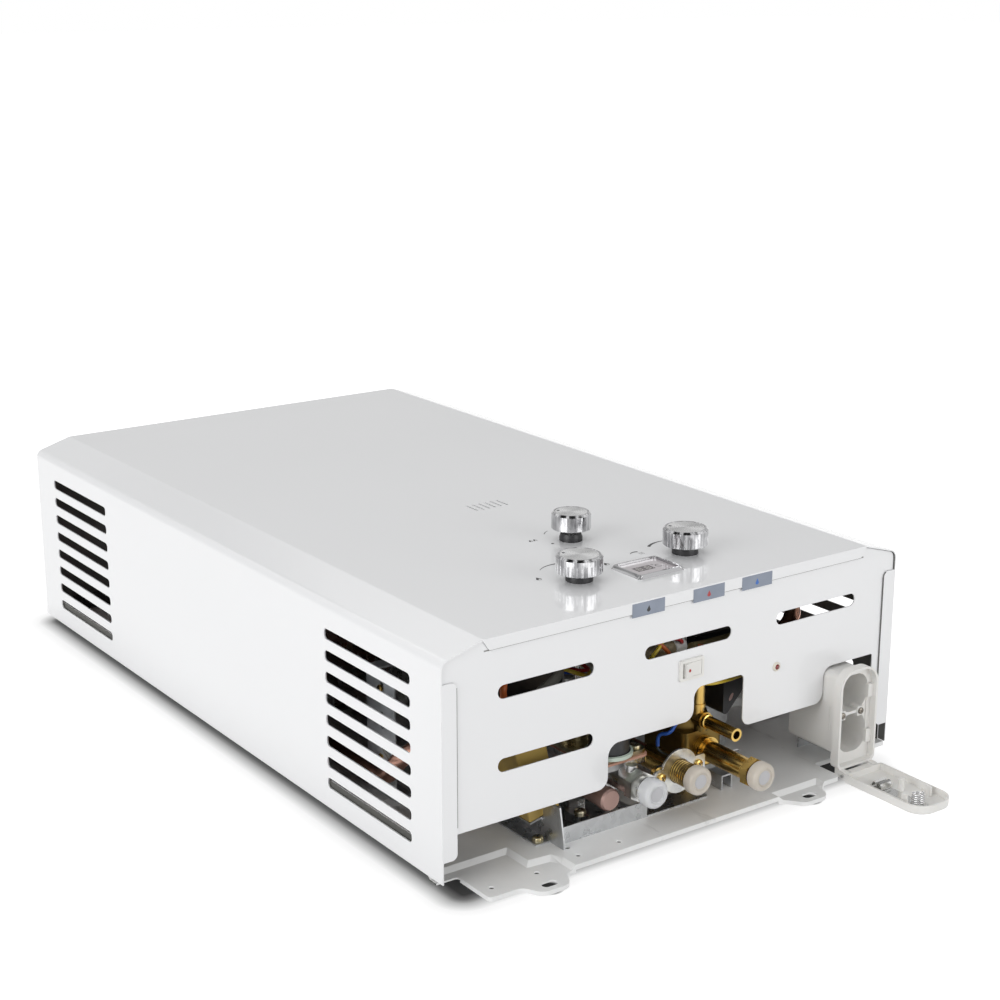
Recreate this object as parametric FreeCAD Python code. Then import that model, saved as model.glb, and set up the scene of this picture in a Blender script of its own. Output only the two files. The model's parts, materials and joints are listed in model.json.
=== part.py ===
import FreeCAD
import Part
import math
import os

V = FreeCAD.Vector

# Outdoor gas water heater, lying on its back as it is serviced.
# X runs across the width, +Y from the connection end to the flue end, +Z from the wall out of
# the front. The origin is on the wall plane, in the middle of the heater.

# ---------------------------------------------------------------- overall
WIDTH = 400.0            # outside the cover
LENGTH = 640.0
DEPTH = 165.0            # wall plane to front face
SHEET = 1.0              # cover and end panels
PLATE = 1.2              # back plate
FIT = 0.4                # gap between nested sheets
TOUCH = 0.3              # gap where one loose piece lies against another
RUN = 0.05               # radial clearance of a shaft in its hole

NEAR = -LENGTH / 2
FAR = LENGTH / 2

# ---------------------------------------------------------------- cover
RIM_Z = 6.0              # lower edge of the cover above the wall
CHAMFER_X = 31.3
CHAMFER_Z = 9.2
BEND_R = 7.0
FOLD_TOP = 8.0           # top flange folded over the end panel
FOLD_TOP_RUN = 5.3       # slope of that flange's ends
FOLD_SIDE = 11.5         # side flange folded over the end panel
FOLD_SIDE_Z = (21.0, 141.5)
LOUVRES = 8
LOUVRE_LEN = 106.5
LOUVRE_H = 7.7
LOUVRE_PITCH = 15.6
LOUVRE_TOP = 138.1
LOUVRE_R = 3.0
LOUVRE_INSET = 38.0      # from each end of the cover to its window
SLIT_LEN = 16.0
SLIT_W = 1.6
SLIT_PITCH = 5.6
SLITS = 6
SLIT_X = -8.3            # first slit
SLIT_D = 245.0           # slit centre from the near end

# ---------------------------------------------------------------- end panel
SLOT_LEN = 77.0
SLOT_H = 9.4
SLOT_CENTRES = [(-117.6, 126.2), (-117.6, 76.0), (2.5, 126.2), (121.8, 126.2)]
SKIRT_Z = 37.5           # lower edge, left part
MID_X = (-66.0, 8.6)     # raised cut over the gas and hot-water ports
MID_Z = 68.5
TOWER_X = 54.2           # right side of the tall cut over the water valve
TOWER_Z = 92.0
BRIDGE_Z = 52.5          # lower edge between the valve and the battery box
BAT_OPEN_X = (WIDTH / 2 - 67.6, WIDTH / 2 - 18.0)
BAT_OPEN_Z = 79.3
STRIP_Z = 41.0           # lower edge right of the battery box
RETURN_LEN = 12.0        # folded edges of the end panels

# ---------------------------------------------------------------- back plate
FLOOR_Z = 6.0            # inside face of the pan
FLANGE_H = 20.0          # upturned sides of the pan
TONGUE_X = (-WIDTH / 2 + 18.0, WIDTH / 2 - 73.4)
TONGUE_REACH = 26.2
TONGUE_SIDE_D = 9.5      # plate edge left of the tongue
LOW_Z = 3.0              # top of the lowered areas round the ears
RAMP = 3.5
LIP_H = 3.5              # folded edge of the tongue
EAR_X = (-WIDTH / 2 + 60.8, WIDTH / 2 - 109.6)
EAR_ROOTS = ((-WIDTH / 2 + 43.0, -WIDTH / 2 + 78.4), (WIDTH / 2 - 131.0, WIDTH / 2 - 94.0))
EAR_TIP = 22.0
EAR_REACH = 40.0
EAR_SLOT_D = 32.0
EAR_SLOT_LEN = 12.0
EAR_SLOT_W = 6.5
WALL_START = 26.0        # upturned sides begin here
PAN_HOLES = [(-172.8, -15.0), (-137.1, -15.1), (-102.7, -2.9), (-103.7, -15.7), (-69.2, -15.4)]
PAN_SLOT = (95.4, 51.6)
TOP_EAR_X = (-90.0, 90.0)
TOP_EAR_ROOT = 40.0
TOP_EAR_TIP = 21.0
TOP_EAR_REACH = 26.0
TOP_EAR_SLOT_D = 14.0
WALL_PAD = (150.0, 90.0)
CORNER_PAD = (60.0, 40.0)
CORNER_PAD_AT = (140.0, 215.0)
PAD_SLOPE = 5.0
CHANNEL_X = (40.0, 50.0)  # folded channel under the water valve
CHANNEL_D = (5.0, 20.0)
CHANNEL_Z = 17.0

# ---------------------------------------------------------------- controls
KNOB_H = 12.5
KNOB_BEVEL = 1.6
SPINDLE_R = 3.0
COLLAR_H = 5.4
# name, x, distance from the near end, knob radius, collar radius, top of the valve neck,
# underside of the knob above the cover
KNOBS = [("gas", -47.4, 59.0, 16.25, 9.5, 84.0, 6.2),
         ("water", 52.0, 64.5, 16.25, 9.5, 80.0, 6.6),
         ("season", 4.5, 136.0, 14.5, 8.5, 86.0, 9.2)]
SPINDLE_IN = 18.0        # length of the spindle inside its neck

DISPLAY_AT = (5.9, 50.7)
DISPLAY_SIZE = (41.0, 33.0)
DISPLAY_RIM = 2.8
DISPLAY_H = 2.6
MODULE_D = 16.0          # depth of the display module under the cover

SWITCH_AT = (4.6, 107.3)
SWITCH_BEZEL = (21.0, 15.0)
SWITCH_BODY = (18.6, 12.6)
SWITCH_LIP = 2.0
SWITCH_DEPTH = 15.0
ROCKER_SIZE = (15.0, 10.2)
ROCKER_TILT = 8.0        # degrees each way from the middle

LAMP_AT = (84.9, 90.7)
LAMP_R = 3.4
LENS_R = 2.0

# ---------------------------------------------------------------- ports
PORT_Z = 38.3
GAS_X = -47.7
OUT_X = -10.0
IN_X = 29.3
THREAD_R = 8.57          # 3/8 in taper pipe thread, 17.1 mm over the crests
CAP_WALL = 1.3
CAP_GAP = 0.15
GAS_TIP = -27.0          # end of each thread, from the near end of the cover
OUT_TIP = -28.0
IN_TIP = -48.0
GAS_CAP_LEN = 10.0
CAP_LEN = 8.0
PIPE_R = 6.35            # half-inch copper pipe

# ---------------------------------------------------------------- battery box
BOX_X = (WIDTH / 2 - 66.8, WIDTH / 2 - 37.6)   # outside of the body
BOX_Z = (15.0, 77.0)
BOX_FRONT = -20.5        # front of the mouth rim, from the near end
BOX_BACK = 35.0
BOX_WALL = 1.2
BOX_FLANGE = (4.2, 5.0)  # mouth rim beyond the body, across and up
BOX_FLANGE_T = 7.5
BOX_RIM = 1.8            # wall of the mouth rim
BOX_RECESS = 5.5
BOX_R = 12.0
BOX_FOOT_R = 5.0
BOX_BOTTOM_LAP = 8.0     # flange below the body
LID_DEPTH = 6.6
LID_WALL = 1.6
LID_LEN = 73.0
HINGE_Z = 3.9
HINGE_PIN_R = 1.25
HINGE_EYE_R = 3.0

PARTS = {}


# ================================================================ helpers
def n(d):
    """Y of a point a distance d inside the near end."""
    return NEAR + d


def box(x, y, z):
    return Part.makeBox(x[1] - x[0], y[1] - y[0], z[1] - z[0], V(x[0], y[0], z[0]))


def cyl(at, axis, r, h):
    return Part.makeCylinder(r, h, V(*at), V(*axis))


def cone(at, axis, r0, r1, h):
    return Part.makeCone(r0, r1, h, V(*at), V(*axis))


def fuse(shapes):
    first = shapes[0]
    return first.multiFuse(shapes[1:]).removeSplitter() if len(shapes) > 1 else first


def cut(shape, tools):
    return shape.cut(Part.makeCompound(tools)) if tools else shape


def plane_xz(y):
    return lambda u, v: V(u, y, v)


def plane_xy(z):
    return lambda u, v: V(u, v, z)


def plane_yz(x):
    return lambda u, v: V(x, u, v)


def outline(points, to3, radius=0.0):
    """Closed wire through points (u, v[, r]) with its corners rounded."""
    edges = []
    ends = []
    count = len(points)
    for i, p in enumerate(points):
        a, c = points[i - 1], points[(i + 1) % count]
        r = p[2] if len(p) > 2 else radius
        p0 = FreeCAD.Vector(p[0], p[1], 0)
        da = (V(a[0], a[1], 0) - p0)
        dc = (V(c[0], c[1], 0) - p0)
        la, lc = da.Length, dc.Length
        da.normalize()
        dc.normalize()
        ang = da.getAngle(dc)
        if r <= 0 or abs(ang - math.pi) < 1e-6:
            ends.append((p0, None, p0))
            continue
        t = min(r / math.tan(ang / 2), 0.499 * la, 0.499 * lc)
        r = t * math.tan(ang / 2)
        mid = da + dc
        mid.normalize()
        centre = p0 + mid * (r / math.sin(ang / 2))
        ends.append((p0 + da * t, centre - mid * r, p0 + dc * t))
    for i, (start, mid, stop) in enumerate(ends):
        if mid is not None:
            edges.append(Part.Arc(to3(start.x, start.y), to3(mid.x, mid.y),
                                  to3(stop.x, stop.y)).toShape())
        nxt = ends[(i + 1) % count][0]
        if (nxt - stop).Length > 1e-6:
            edges.append(Part.LineSegment(to3(stop.x, stop.y), to3(nxt.x, nxt.y)).toShape())
    return Part.Wire(edges)


def slab(points, to3, vec, radius=0.0):
    """Prism of a rounded outline."""
    return Part.Face(outline(points, to3, radius)).extrude(V(*vec))


def rect(cx, cy, w, h):
    return [(cx - w / 2, cy - h / 2), (cx + w / 2, cy - h / 2),
            (cx + w / 2, cy + h / 2), (cx - w / 2, cy + h / 2)]


def inset(points, d):
    """Open chain of points moved inwards by d, measured square to each side."""
    out = []
    for i, p in enumerate(points):
        dirs = []
        for a, b in ((i - 1, i), (i, i + 1)):
            if 0 <= a and b < len(points):
                e = V(points[b][0] - points[a][0], points[b][1] - points[a][1], 0)
                e.normalize()
                dirs.append(e)
        normals = [V(e.y, -e.x, 0) for e in dirs]
        if len(normals) == 1:
            m = normals[0] * d
        else:
            m = normals[0] + normals[1]
            m = m * (d / (1 + normals[0].dot(normals[1])))
        out.append((p[0] + m.x, p[1] + m.y))
    return out


def revolve(profile, at, axis):
    """Solid of revolution from (radius, height) points."""
    wire = Part.makePolygon([V(r, 0, h) for r, h in profile] + [V(profile[0][0], 0, profile[0][1])])
    solid = Part.Face(wire).revolve(V(0, 0, 0), V(0, 0, 1), 360)
    solid.Placement = FreeCAD.Placement(V(*at), FreeCAD.Rotation(V(0, 0, 1), V(*axis)))
    return solid


def tube(points, r, bend, inner=0.0):
    """Round bar or pipe along straight runs joined by tangent arcs."""
    pts = [V(*p) for p in points]
    edges = []
    start = pts[0]
    for i in range(1, len(pts) - 1):
        a = (pts[i - 1] - pts[i])
        c = (pts[i + 1] - pts[i])
        la, lc = a.Length, c.Length
        a.normalize()
        c.normalize()
        ang = a.getAngle(c)
        t = min(bend / math.tan(ang / 2), 0.45 * la, 0.45 * lc)
        rr = t * math.tan(ang / 2)
        mid = a + c
        mid.normalize()
        centre = pts[i] + mid * (rr / math.sin(ang / 2))
        p0, p1 = pts[i] + a * t, pts[i] + c * t
        edges.append(Part.LineSegment(start, p0).toShape())
        edges.append(Part.Arc(p0, centre - mid * rr, p1).toShape())
        start = p1
    edges.append(Part.LineSegment(start, pts[-1]).toShape())
    path = Part.Wire(edges)
    way = pts[1] - pts[0]
    way.normalize()

    def sweep(radius):
        ring = Part.Wire([Part.makeCircle(radius, pts[0], way)])
        return path.makePipeShell([ring], True, False)

    solid = sweep(r)
    return solid.cut(sweep(inner)) if inner > 0 else solid


def hexagon(at, axis, across, h):
    """Hexagonal bar standing on a point along an axis."""
    r = across / math.sqrt(3)
    pts = [V(r * math.cos(math.radians(a)), r * math.sin(math.radians(a)), 0)
           for a in range(30, 390, 60)]
    bar = Part.Face(Part.makePolygon(pts + [pts[0]])).extrude(V(0, 0, h))
    bar.Placement = FreeCAD.Placement(V(*at), FreeCAD.Rotation(V(0, 0, 1), V(*axis)))
    return bar


def pan_screw(at, axis, r, length, head_r, head_h):
    """Screw with its head on the point and its shank running back along the axis."""
    shank = cyl([a - b * length for a, b in zip(at, axis)], axis, r, length)
    head = cyl(at, axis, head_r, head_h * 0.45)
    dome = cone([a + b * head_h * 0.45 for a, b in zip(at, axis)], axis, head_r, head_r * 0.6,
                head_h * 0.55)
    return fuse([shank, head, dome])


def stadium(cx, cy, w, h):
    return [p + (h * 0.4999,) for p in rect(cx, cy, w, h)]


def save(name, shape):
    PARTS[name] = shape


# ================================================================ housing
def front_chain(d=0.0):
    """Cover section as an open chain, moved inwards by d."""
    half = WIDTH / 2
    pts = [(-half, RIM_Z), (-half, DEPTH - CHAMFER_Z), (-half + CHAMFER_X, DEPTH),
           (half - CHAMFER_X, DEPTH), (half, DEPTH - CHAMFER_Z), (half, RIM_Z)]
    return inset(pts, d)


def section(d, bottom, radius):
    """Closed section inside the cover, its lower edge at a height."""
    pts = front_chain(d)
    pts[0] = (pts[0][0], bottom)
    pts[-1] = (pts[-1][0], bottom)
    return [pts[0] + (0.0,)] + [p + (radius,) for p in pts[1:-1]] + [pts[-1] + (0.0,)]


def louvre_rows():
    return [LOUVRE_TOP - LOUVRE_H / 2 - i * LOUVRE_PITCH for i in range(LOUVRES)]


def louvre_windows():
    """Y centre of each louvre window."""
    c = LOUVRE_INSET + LOUVRE_LEN / 2 - 2.2
    return [NEAR + c, FAR - c]


def front_cover():
    outer = slab(section(0, RIM_Z, BEND_R), plane_xz(NEAR), (0, LENGTH, 0))
    inner = slab(section(SHEET, RIM_Z - 1, BEND_R - SHEET), plane_xz(NEAR - 1), (0, LENGTH + 2, 0))
    shell = outer.cut(inner)
    half = WIDTH / 2
    folds = []
    top_half = half - CHAMFER_X
    z0, z1 = FOLD_SIDE_Z
    for y in (NEAR, FAR - SHEET):
        folds.append(slab([(-top_half, DEPTH - SHEET / 2), (-top_half + FOLD_TOP_RUN, DEPTH - FOLD_TOP),
                           (top_half - FOLD_TOP_RUN, DEPTH - FOLD_TOP), (top_half, DEPTH - SHEET / 2)],
                          plane_xz(y), (0, SHEET, 0)))
        for s in (-1, 1):
            folds.append(slab([(s * (half - SHEET / 2), z0, 0), (s * (half - FOLD_SIDE), z0, 4),
                               (s * (half - FOLD_SIDE), z1, 4), (s * (half - SHEET / 2), z1, 0)],
                              plane_xz(y), (0, SHEET, 0)))
    cover = fuse([shell] + folds)
    tools = []
    for s in (-1, 1):
        for y in louvre_windows():
            for z in louvre_rows():
                tools.append(slab([p + (LOUVRE_R,) for p in rect(y, z, LOUVRE_LEN, LOUVRE_H)],
                                  plane_yz(s * half - 3), (6, 0, 0)))
    for i in range(SLITS):
        tools.append(box((SLIT_X + i * SLIT_PITCH, SLIT_X + i * SLIT_PITCH + SLIT_W),
                         (n(SLIT_D) - SLIT_LEN / 2, n(SLIT_D) + SLIT_LEN / 2), (DEPTH - 3, DEPTH + 1)))
    for _, x, d, *_ in KNOBS:
        tools.append(cyl((x, n(d), DEPTH - 3), (0, 0, 1), SPINDLE_R + 2.5, 4))
    w, h = DISPLAY_SIZE
    cx, cy = DISPLAY_AT[0], n(DISPLAY_AT[1])
    tools.append(box((cx - w / 2 + DISPLAY_RIM / 2, cx + w / 2 - DISPLAY_RIM / 2),
                     (cy - h / 2 + DISPLAY_RIM / 2, cy + h / 2 - DISPLAY_RIM / 2), (DEPTH - 3, DEPTH + 1)))
    for x, z in far_screws():
        tools.append(cyl((x, FAR - 2, z), (0, 1, 0), 2.2, 4))
    save("front_cover", cut(cover, tools))


def far_screws():
    return [(s * (WIDTH / 2 - FOLD_SIDE / 2 - SHEET / 2), z) for s in (-1, 1)
            for z in (FOLD_SIDE_Z[0] + 12, FOLD_SIDE_Z[1] - 12)]


PANEL_Y = (NEAR + SHEET + TOUCH, NEAR + 2 * SHEET + TOUCH)
FLUE_Y = (FAR - 2 * SHEET - TOUCH, FAR - SHEET - TOUCH)


def end_panel():
    d = SHEET + FIT
    chain = front_chain(d)
    side = chain[-1][0]
    lower = [(-side, SKIRT_Z, 0), (MID_X[0], SKIRT_Z, 8), (MID_X[0], MID_Z, 9), (MID_X[1], MID_Z, 8),
             (MID_X[1], TOWER_Z, 8), (TOWER_X, TOWER_Z, 4), (TOWER_X, BRIDGE_Z, 7),
             (BAT_OPEN_X[0], BRIDGE_Z, 8), (BAT_OPEN_X[0], BAT_OPEN_Z, 8), (BAT_OPEN_X[1], BAT_OPEN_Z, 2),
             (BAT_OPEN_X[1], STRIP_Z, 0), (side, STRIP_Z, 0)]
    upper = [(p[0], p[1], BEND_R - d) for p in reversed(chain[1:-1])]
    panel = slab(lower + upper, plane_xz(PANEL_Y[0]), (0, SHEET, 0))
    top = chain[2][1]
    y1 = PANEL_Y[1] + RETURN_LEN
    ret = [box((-150, 150), (PANEL_Y[0], y1), (top - SHEET, top))]
    for s in (-1, 1):
        z0 = (SKIRT_Z if s < 0 else STRIP_Z) + 4
        ret.append(box(sorted((s * side, s * (side - SHEET))), (PANEL_Y[0], y1), (z0, chain[1][1] - 12)))
    panel = fuse([panel] + ret)
    tools = [slab(stadium(x, z, SLOT_LEN, SLOT_H), plane_xz(PANEL_Y[0] - 1), (0, 4, 0))
             for x, z in SLOT_CENTRES]
    sx, sz = SWITCH_AT
    w, h = SWITCH_BODY[0] + FIT, SWITCH_BODY[1] + FIT
    tools.append(box((sx - w / 2, sx + w / 2), (PANEL_Y[0] - 1, PANEL_Y[0] + 3), (sz - h / 2, sz + h / 2)))
    tools.append(cyl((LAMP_AT[0], PANEL_Y[0] - 1, LAMP_AT[1]), (0, 1, 0), LENS_R + 1.0, 4))
    save("end_panel", cut(panel, tools))


FLUE_OPEN = (WIDTH - 210.0, 50.0)   # as wide as the burner leaves room for
FLUE_Z = 95.0
FLUE_CAP_D = 24.0


def flue_end():
    d = SHEET + FIT
    panel = slab(section(d, FLOOR_Z + 4, BEND_R - d), plane_xz(FLUE_Y[0]), (0, SHEET, 0))
    chain = front_chain(d)
    side, top = chain[-1][0], chain[2][1]
    y0 = FLUE_Y[0] - RETURN_LEN
    ret = [box((-150, 150), (y0, FLUE_Y[1]), (top - SHEET, top))]
    for s in (-1, 1):
        ret.append(box(sorted((s * side, s * (side - SHEET))), (y0, FLUE_Y[1]), (40, chain[1][1] - 12)))
    panel = fuse([panel] + ret)
    tools = [slab(rect(0, FLUE_Z, *FLUE_OPEN), plane_xz(FLUE_Y[0] - 1), (0, 4, 0), 6)]
    tools += [cyl((x, FLUE_Y[0] - 1, z), (0, 1, 0), 1.8, 4) for x, z in far_screws()]
    tools += [cyl((x, FLUE_Y[0] - 1, z), (0, 1, 0), 1.6, 4) for x, z in cap_screws()]
    save("flue_panel", cut(panel, tools))
    # flue cap: flanged box with outlet slots on its end face
    w, h = FLUE_OPEN[0] + 14, FLUE_OPEN[1] + 14
    y1 = FLUE_Y[1]
    flange = slab(rect(0, FLUE_Z, w + 26, h + 4), plane_xz(y1), (0, SHEET, 0), 5)
    duct = slab(rect(0, FLUE_Z, w, h), plane_xz(y1), (0, FLUE_CAP_D, 0), 6)
    hollow = slab(rect(0, FLUE_Z, w - 2 * SHEET, h - 2 * SHEET), plane_xz(y1 - 1), (0, FLUE_CAP_D + 1 - SHEET, 0), 5)
    tools = [hollow]
    for i in range(5):
        z = FLUE_Z + (i - 2) * 11
        tools.append(slab(stadium(0, z, FLUE_OPEN[0] - 20, 5.5), plane_xz(y1 + 5), (0, FLUE_CAP_D, 0)))
    tools += [cyl((x, y1 - 1, z), (0, 1, 0), 2.1, 4) for x, z in cap_screws()]
    save("flue_cap", cut(fuse([flange, duct]), tools))
    heads = [pan_screw((x, FAR, z), (0, 1, 0), 1.7, 6, 3.6, 2.4) for x, z in far_screws()]
    heads += [pan_screw((x, y1 + SHEET, z), (0, 1, 0), 1.5, 5, 3.2, 2.2) for x, z in cap_screws()]
    save("end_screws", Part.makeCompound(heads))


def cap_screws():
    w = FLUE_OPEN[0] + 14
    return [(s * (w / 2 + 7), FLUE_Z + dz) for s in (-1, 1) for dz in (-18, 18)]


def pad(cx, cy, size):
    """Pressed pad from the pan down to the wall: outer and inner frustums."""
    w, h = size
    solids = []
    low, high = 0.0, FLOOR_Z - PLATE
    for dz in (0.0, PLATE):
        a = outline(rect(cx, cy, w, h), plane_xy(low + dz), 8)
        b = outline(rect(cx, cy, w + 2 * PAD_SLOPE, h + 2 * PAD_SLOPE), plane_xy(high + dz), 8 + PAD_SLOPE)
        solids.append(Part.makeLoft([a, b], True, True))
    return solids


def ear(xc):
    """Rear mounting ear at wall level, with the ramp that joins it to the plate edge."""
    ramp = 7.0
    edge = FAR + 6.0
    tip = FAR + TOP_EAR_REACH
    flat_y = edge + 2.0
    half, tip_half = TOP_EAR_ROOT / 2, TOP_EAR_TIP / 2
    flat = slab([(xc - half, flat_y, 1), (xc + half, flat_y, 1), (xc + tip_half, tip, 7),
                 (xc - tip_half, tip, 7)], plane_xy(0), (0, 0, PLATE))
    side = slab([(flat_y + 0.6, 0), (flat_y + 0.6, PLATE), (edge - ramp + 2, FLOOR_Z), (edge - ramp, FLOOR_Z),
                 (edge - ramp, FLOOR_Z - PLATE), (edge - ramp + 2, FLOOR_Z - PLATE), (flat_y, 0)],
                plane_yz(xc - half), (TOP_EAR_ROOT, 0, 0))
    return [flat, side]


def plate_plan():
    """Outline of the pressed sheet: tongue and lower ears in one smooth edge."""
    half = WIDTH / 2 - SHEET - FIT
    front = n(-TONGUE_REACH)
    pts = [(-half, n(TONGUE_SIDE_D), 0), (TONGUE_X[0], n(TONGUE_SIDE_D), 3), (TONGUE_X[0], front, 3)]
    for xc, (root0, root1) in zip(EAR_X, EAR_ROOTS):
        tip = n(-EAR_REACH)
        pts += [(root0, front, 8), (xc - EAR_TIP / 2, tip, 9), (xc + EAR_TIP / 2, tip, 9), (root1, front, 8)]
    pts += [(TONGUE_X[1], front, 4), (TONGUE_X[1], NEAR + 0.5, 2), (half, NEAR + 0.5, 0), (half, FAR - 0.5, 0),
            (-half, FAR - 0.5, 0)]
    return pts


def lowered_areas():
    """Lower and upper outlines of the two pressed areas round the lower ears."""
    x, y = -WIDTH / 2, n(-TONGUE_REACH) - 50
    left = [(x - 50, n(17)), (x + 61.5, n(17)), (x + 61.5, n(-6)), (x + 79, n(-8)), (x + 83, n(-15)), (x + 83, y),
            (x - 50, y)]
    left_up = [(x - 50, n(17) + RAMP), (x + 65, n(17) + RAMP), (x + 65, n(-2.5)), (x + 82, n(-4.5)),
               (x + 86.5, n(-12)), (x + 86.5, y), (x - 50, y)]
    r0, r1 = EAR_ROOTS[1]
    right = [(r0 + 0.5, n(-22)), (r1 + 0.5, n(-22)), (r1 + 0.5, y), (r0 + 0.5, y)]
    right_up = [(r0 - 3, n(-22) + RAMP), (r1 + 4, n(-22) + RAMP), (r1 + 4, y), (r0 - 3, y)]
    return [(left, left_up), (right, right_up)]


def back_plate():
    half = WIDTH / 2 - SHEET - FIT
    plan = outline(plate_plan(), plane_xy(-1))
    prism = Part.Face(plan).extrude(V(0, 0, 12))
    ring = prism.cut(Part.Face(plan.makeOffset2D(-PLATE)).extrude(V(0, 0, 12)))
    ring = ring.common(box((-half, half), (n(-60), n(7)), (-1, 11)))
    sheet = slab(plate_plan(), plane_xy(FLOOR_Z - PLATE), (0, 0, PLATE))
    lip = ring.common(box((-half, half), (n(-60), n(8)), (FLOOR_Z - LIP_H, FLOOR_Z - 0.2)))
    outer, inner, deep = [], [], []
    for low, high in lowered_areas():
        for dz, group in ((-PLATE, outer), (0.0, inner)):
            group.append(Part.makeLoft([outline(low, plane_xy(LOW_Z + dz)), outline(high, plane_xy(FLOOR_Z + dz))],
                                       True, True))
        deep.append(ring.common(slab(high, plane_xy(0), (0, 0, LOW_Z - 0.2))))
    presses = [shape.common(prism) for shape in outer]
    walls = [box(sorted((s * half, s * (half - PLATE))), (start, FAR - 6), (FLOOR_Z - PLATE, FLOOR_Z + FLANGE_H))
             for s, start in ((-1, n(WALL_START)), (1, NEAR + 6))]
    top = [box((-WIDTH / 2 + 60, WIDTH / 2 - 60), (FAR - 1, FAR + 3), (FLOOR_Z - PLATE, FLOOR_Z))]
    for x in TOP_EAR_X:
        top += ear(x)
    pads, pockets = [], []
    sx, sy = CORNER_PAD_AT
    for cx, cy, size in [(0, 0, WALL_PAD)] + [(a * sx, b * sy, CORNER_PAD) for a in (-1, 1) for b in (-1, 1)]:
        bottom, hollow = pad(cx, cy, size)
        pads.append(bottom)
        pockets.append(hollow)
    plate = fuse([sheet, lip] + presses + deep + walls + top + pads)
    plate = plate.cut(Part.makeCompound(pockets + inner))
    # clips welded to the pan: battery box, channel, control box and igniter
    cx, z0 = (BOX_X[0] + BOX_X[1]) / 2, BOX_Z[0]
    channel = box(CHANNEL_X, [n(d) for d in CHANNEL_D], (FLOOR_Z - 1, CHANNEL_Z)).cut(
        box((CHANNEL_X[0] + PLATE, CHANNEL_X[1] - PLATE), (n(CHANNEL_D[0]) - 1, n(CHANNEL_D[1]) + 1),
            (FLOOR_Z - 2, CHANNEL_Z - PLATE)))
    clips = [box((cx - 10, cx + 10), (n(28.8), n(30)), (FLOOR_Z - 1, z0)),
             box((cx - 10, cx + 10), (n(10), n(30)), (z0 - PLATE, z0)), channel]
    leg_y = n(MODULE_AT[1])
    for x in MODULE_LEGS:
        clips.append(box((x, x + 10), (leg_y, leg_y + PLATE), (FLOOR_Z - 1, MODULE_Z[1] - 20)))
        clips.append(box((x, x + 10), (leg_y, leg_y + 14), (FLOOR_Z - 0.5, FLOOR_Z + PLATE)))
    back = n(IGNITER_D[1]) + TOUCH
    clips.append(box(IGNITER_LEG_X, (back, back + PLATE), (FLOOR_Z - 1, IGNITER_Z[1] - 20)))
    clips.append(box(IGNITER_LEG_X, (back, back + 10), (FLOOR_Z - 0.5, FLOOR_Z + PLATE)))
    plate = fuse([plate] + clips)
    tools = []
    for x in EAR_X:
        tools.append(slab(stadium(x, n(-EAR_SLOT_D), EAR_SLOT_LEN, EAR_SLOT_W), plane_xy(-1), (0, 0, 6)))
    for x in TOP_EAR_X:
        tools.append(slab(stadium(x, FAR + TOP_EAR_SLOT_D, EAR_SLOT_LEN, EAR_SLOT_W), plane_xy(-1), (0, 0, 4)))
    tools += [cyl((x, n(d), -1), (0, 0, 1), 1.9, 12) for x, d in PAN_HOLES]
    tools.append(slab(stadium(PAN_SLOT[0], n(PAN_SLOT[1]), 9, 3.5), plane_xy(-1), (0, 0, 12)))
    save("back_plate", cut(plate, tools))


# ================================================================ controls
def controls():
    for name, x, d, r, collar_r, neck, gap in KNOBS:
        y = n(d)
        z0 = DEPTH + gap
        z1 = z0 + KNOB_H
        bore = SPINDLE_R + RUN
        rim = r - 1.6 - KNOB_BEVEL * 0.6
        body = revolve([(bore, 0.6), (5.6, 0.6), (5.6, 6.5), (r - 2.4, 6.5), (r - 2.4, 0), (r - 0.4, 0),
                        (r, 0.5), (r, KNOB_H - KNOB_BEVEL), (r - KNOB_BEVEL, KNOB_H), (rim, KNOB_H),
                        (rim - 0.2, KNOB_H - 0.3), (0, KNOB_H - 0.3), (0, KNOB_H - 1.5),
                        (bore, KNOB_H - 1.5)], (x, y, z0), (0, 0, 1))
        ribs = []
        count = 30
        for i in range(count):
            a = 2 * math.pi * i / count
            ribs.append(cyl((x + (r + 0.35) * math.cos(a), y + (r + 0.35) * math.sin(a), z0 - 1),
                            (0, 0, 1), 0.75, KNOB_H - KNOB_BEVEL - 2.5))
        dot = cyl((x - rim * 0.55, y + rim * 0.62, z1 - 0.9), (0, 0, 1), 0.9, 2)
        save("knob_" + name, cut(body, [dot] + (ribs if name != "season" else [])))
        save("spindle_" + name, cyl((x, y, neck - SPINDLE_IN), (0, 0, 1), SPINDLE_R,
                                    z1 - 1.6 - neck + SPINDLE_IN))
    collars = [revolve([(SPINDLE_R + 1.0, -2.2), (SPINDLE_R + 2.4, -2.2), (SPINDLE_R + 2.4, 0), (cr, 0),
                        (cr, COLLAR_H * 0.5), (cr - 1.0, COLLAR_H), (SPINDLE_R + 1.0, COLLAR_H)],
                       (x, n(d), DEPTH), (0, 0, 1)) for _, x, d, _, cr, _, _ in KNOBS]
    save("knob_collars", Part.makeCompound(collars))


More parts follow.
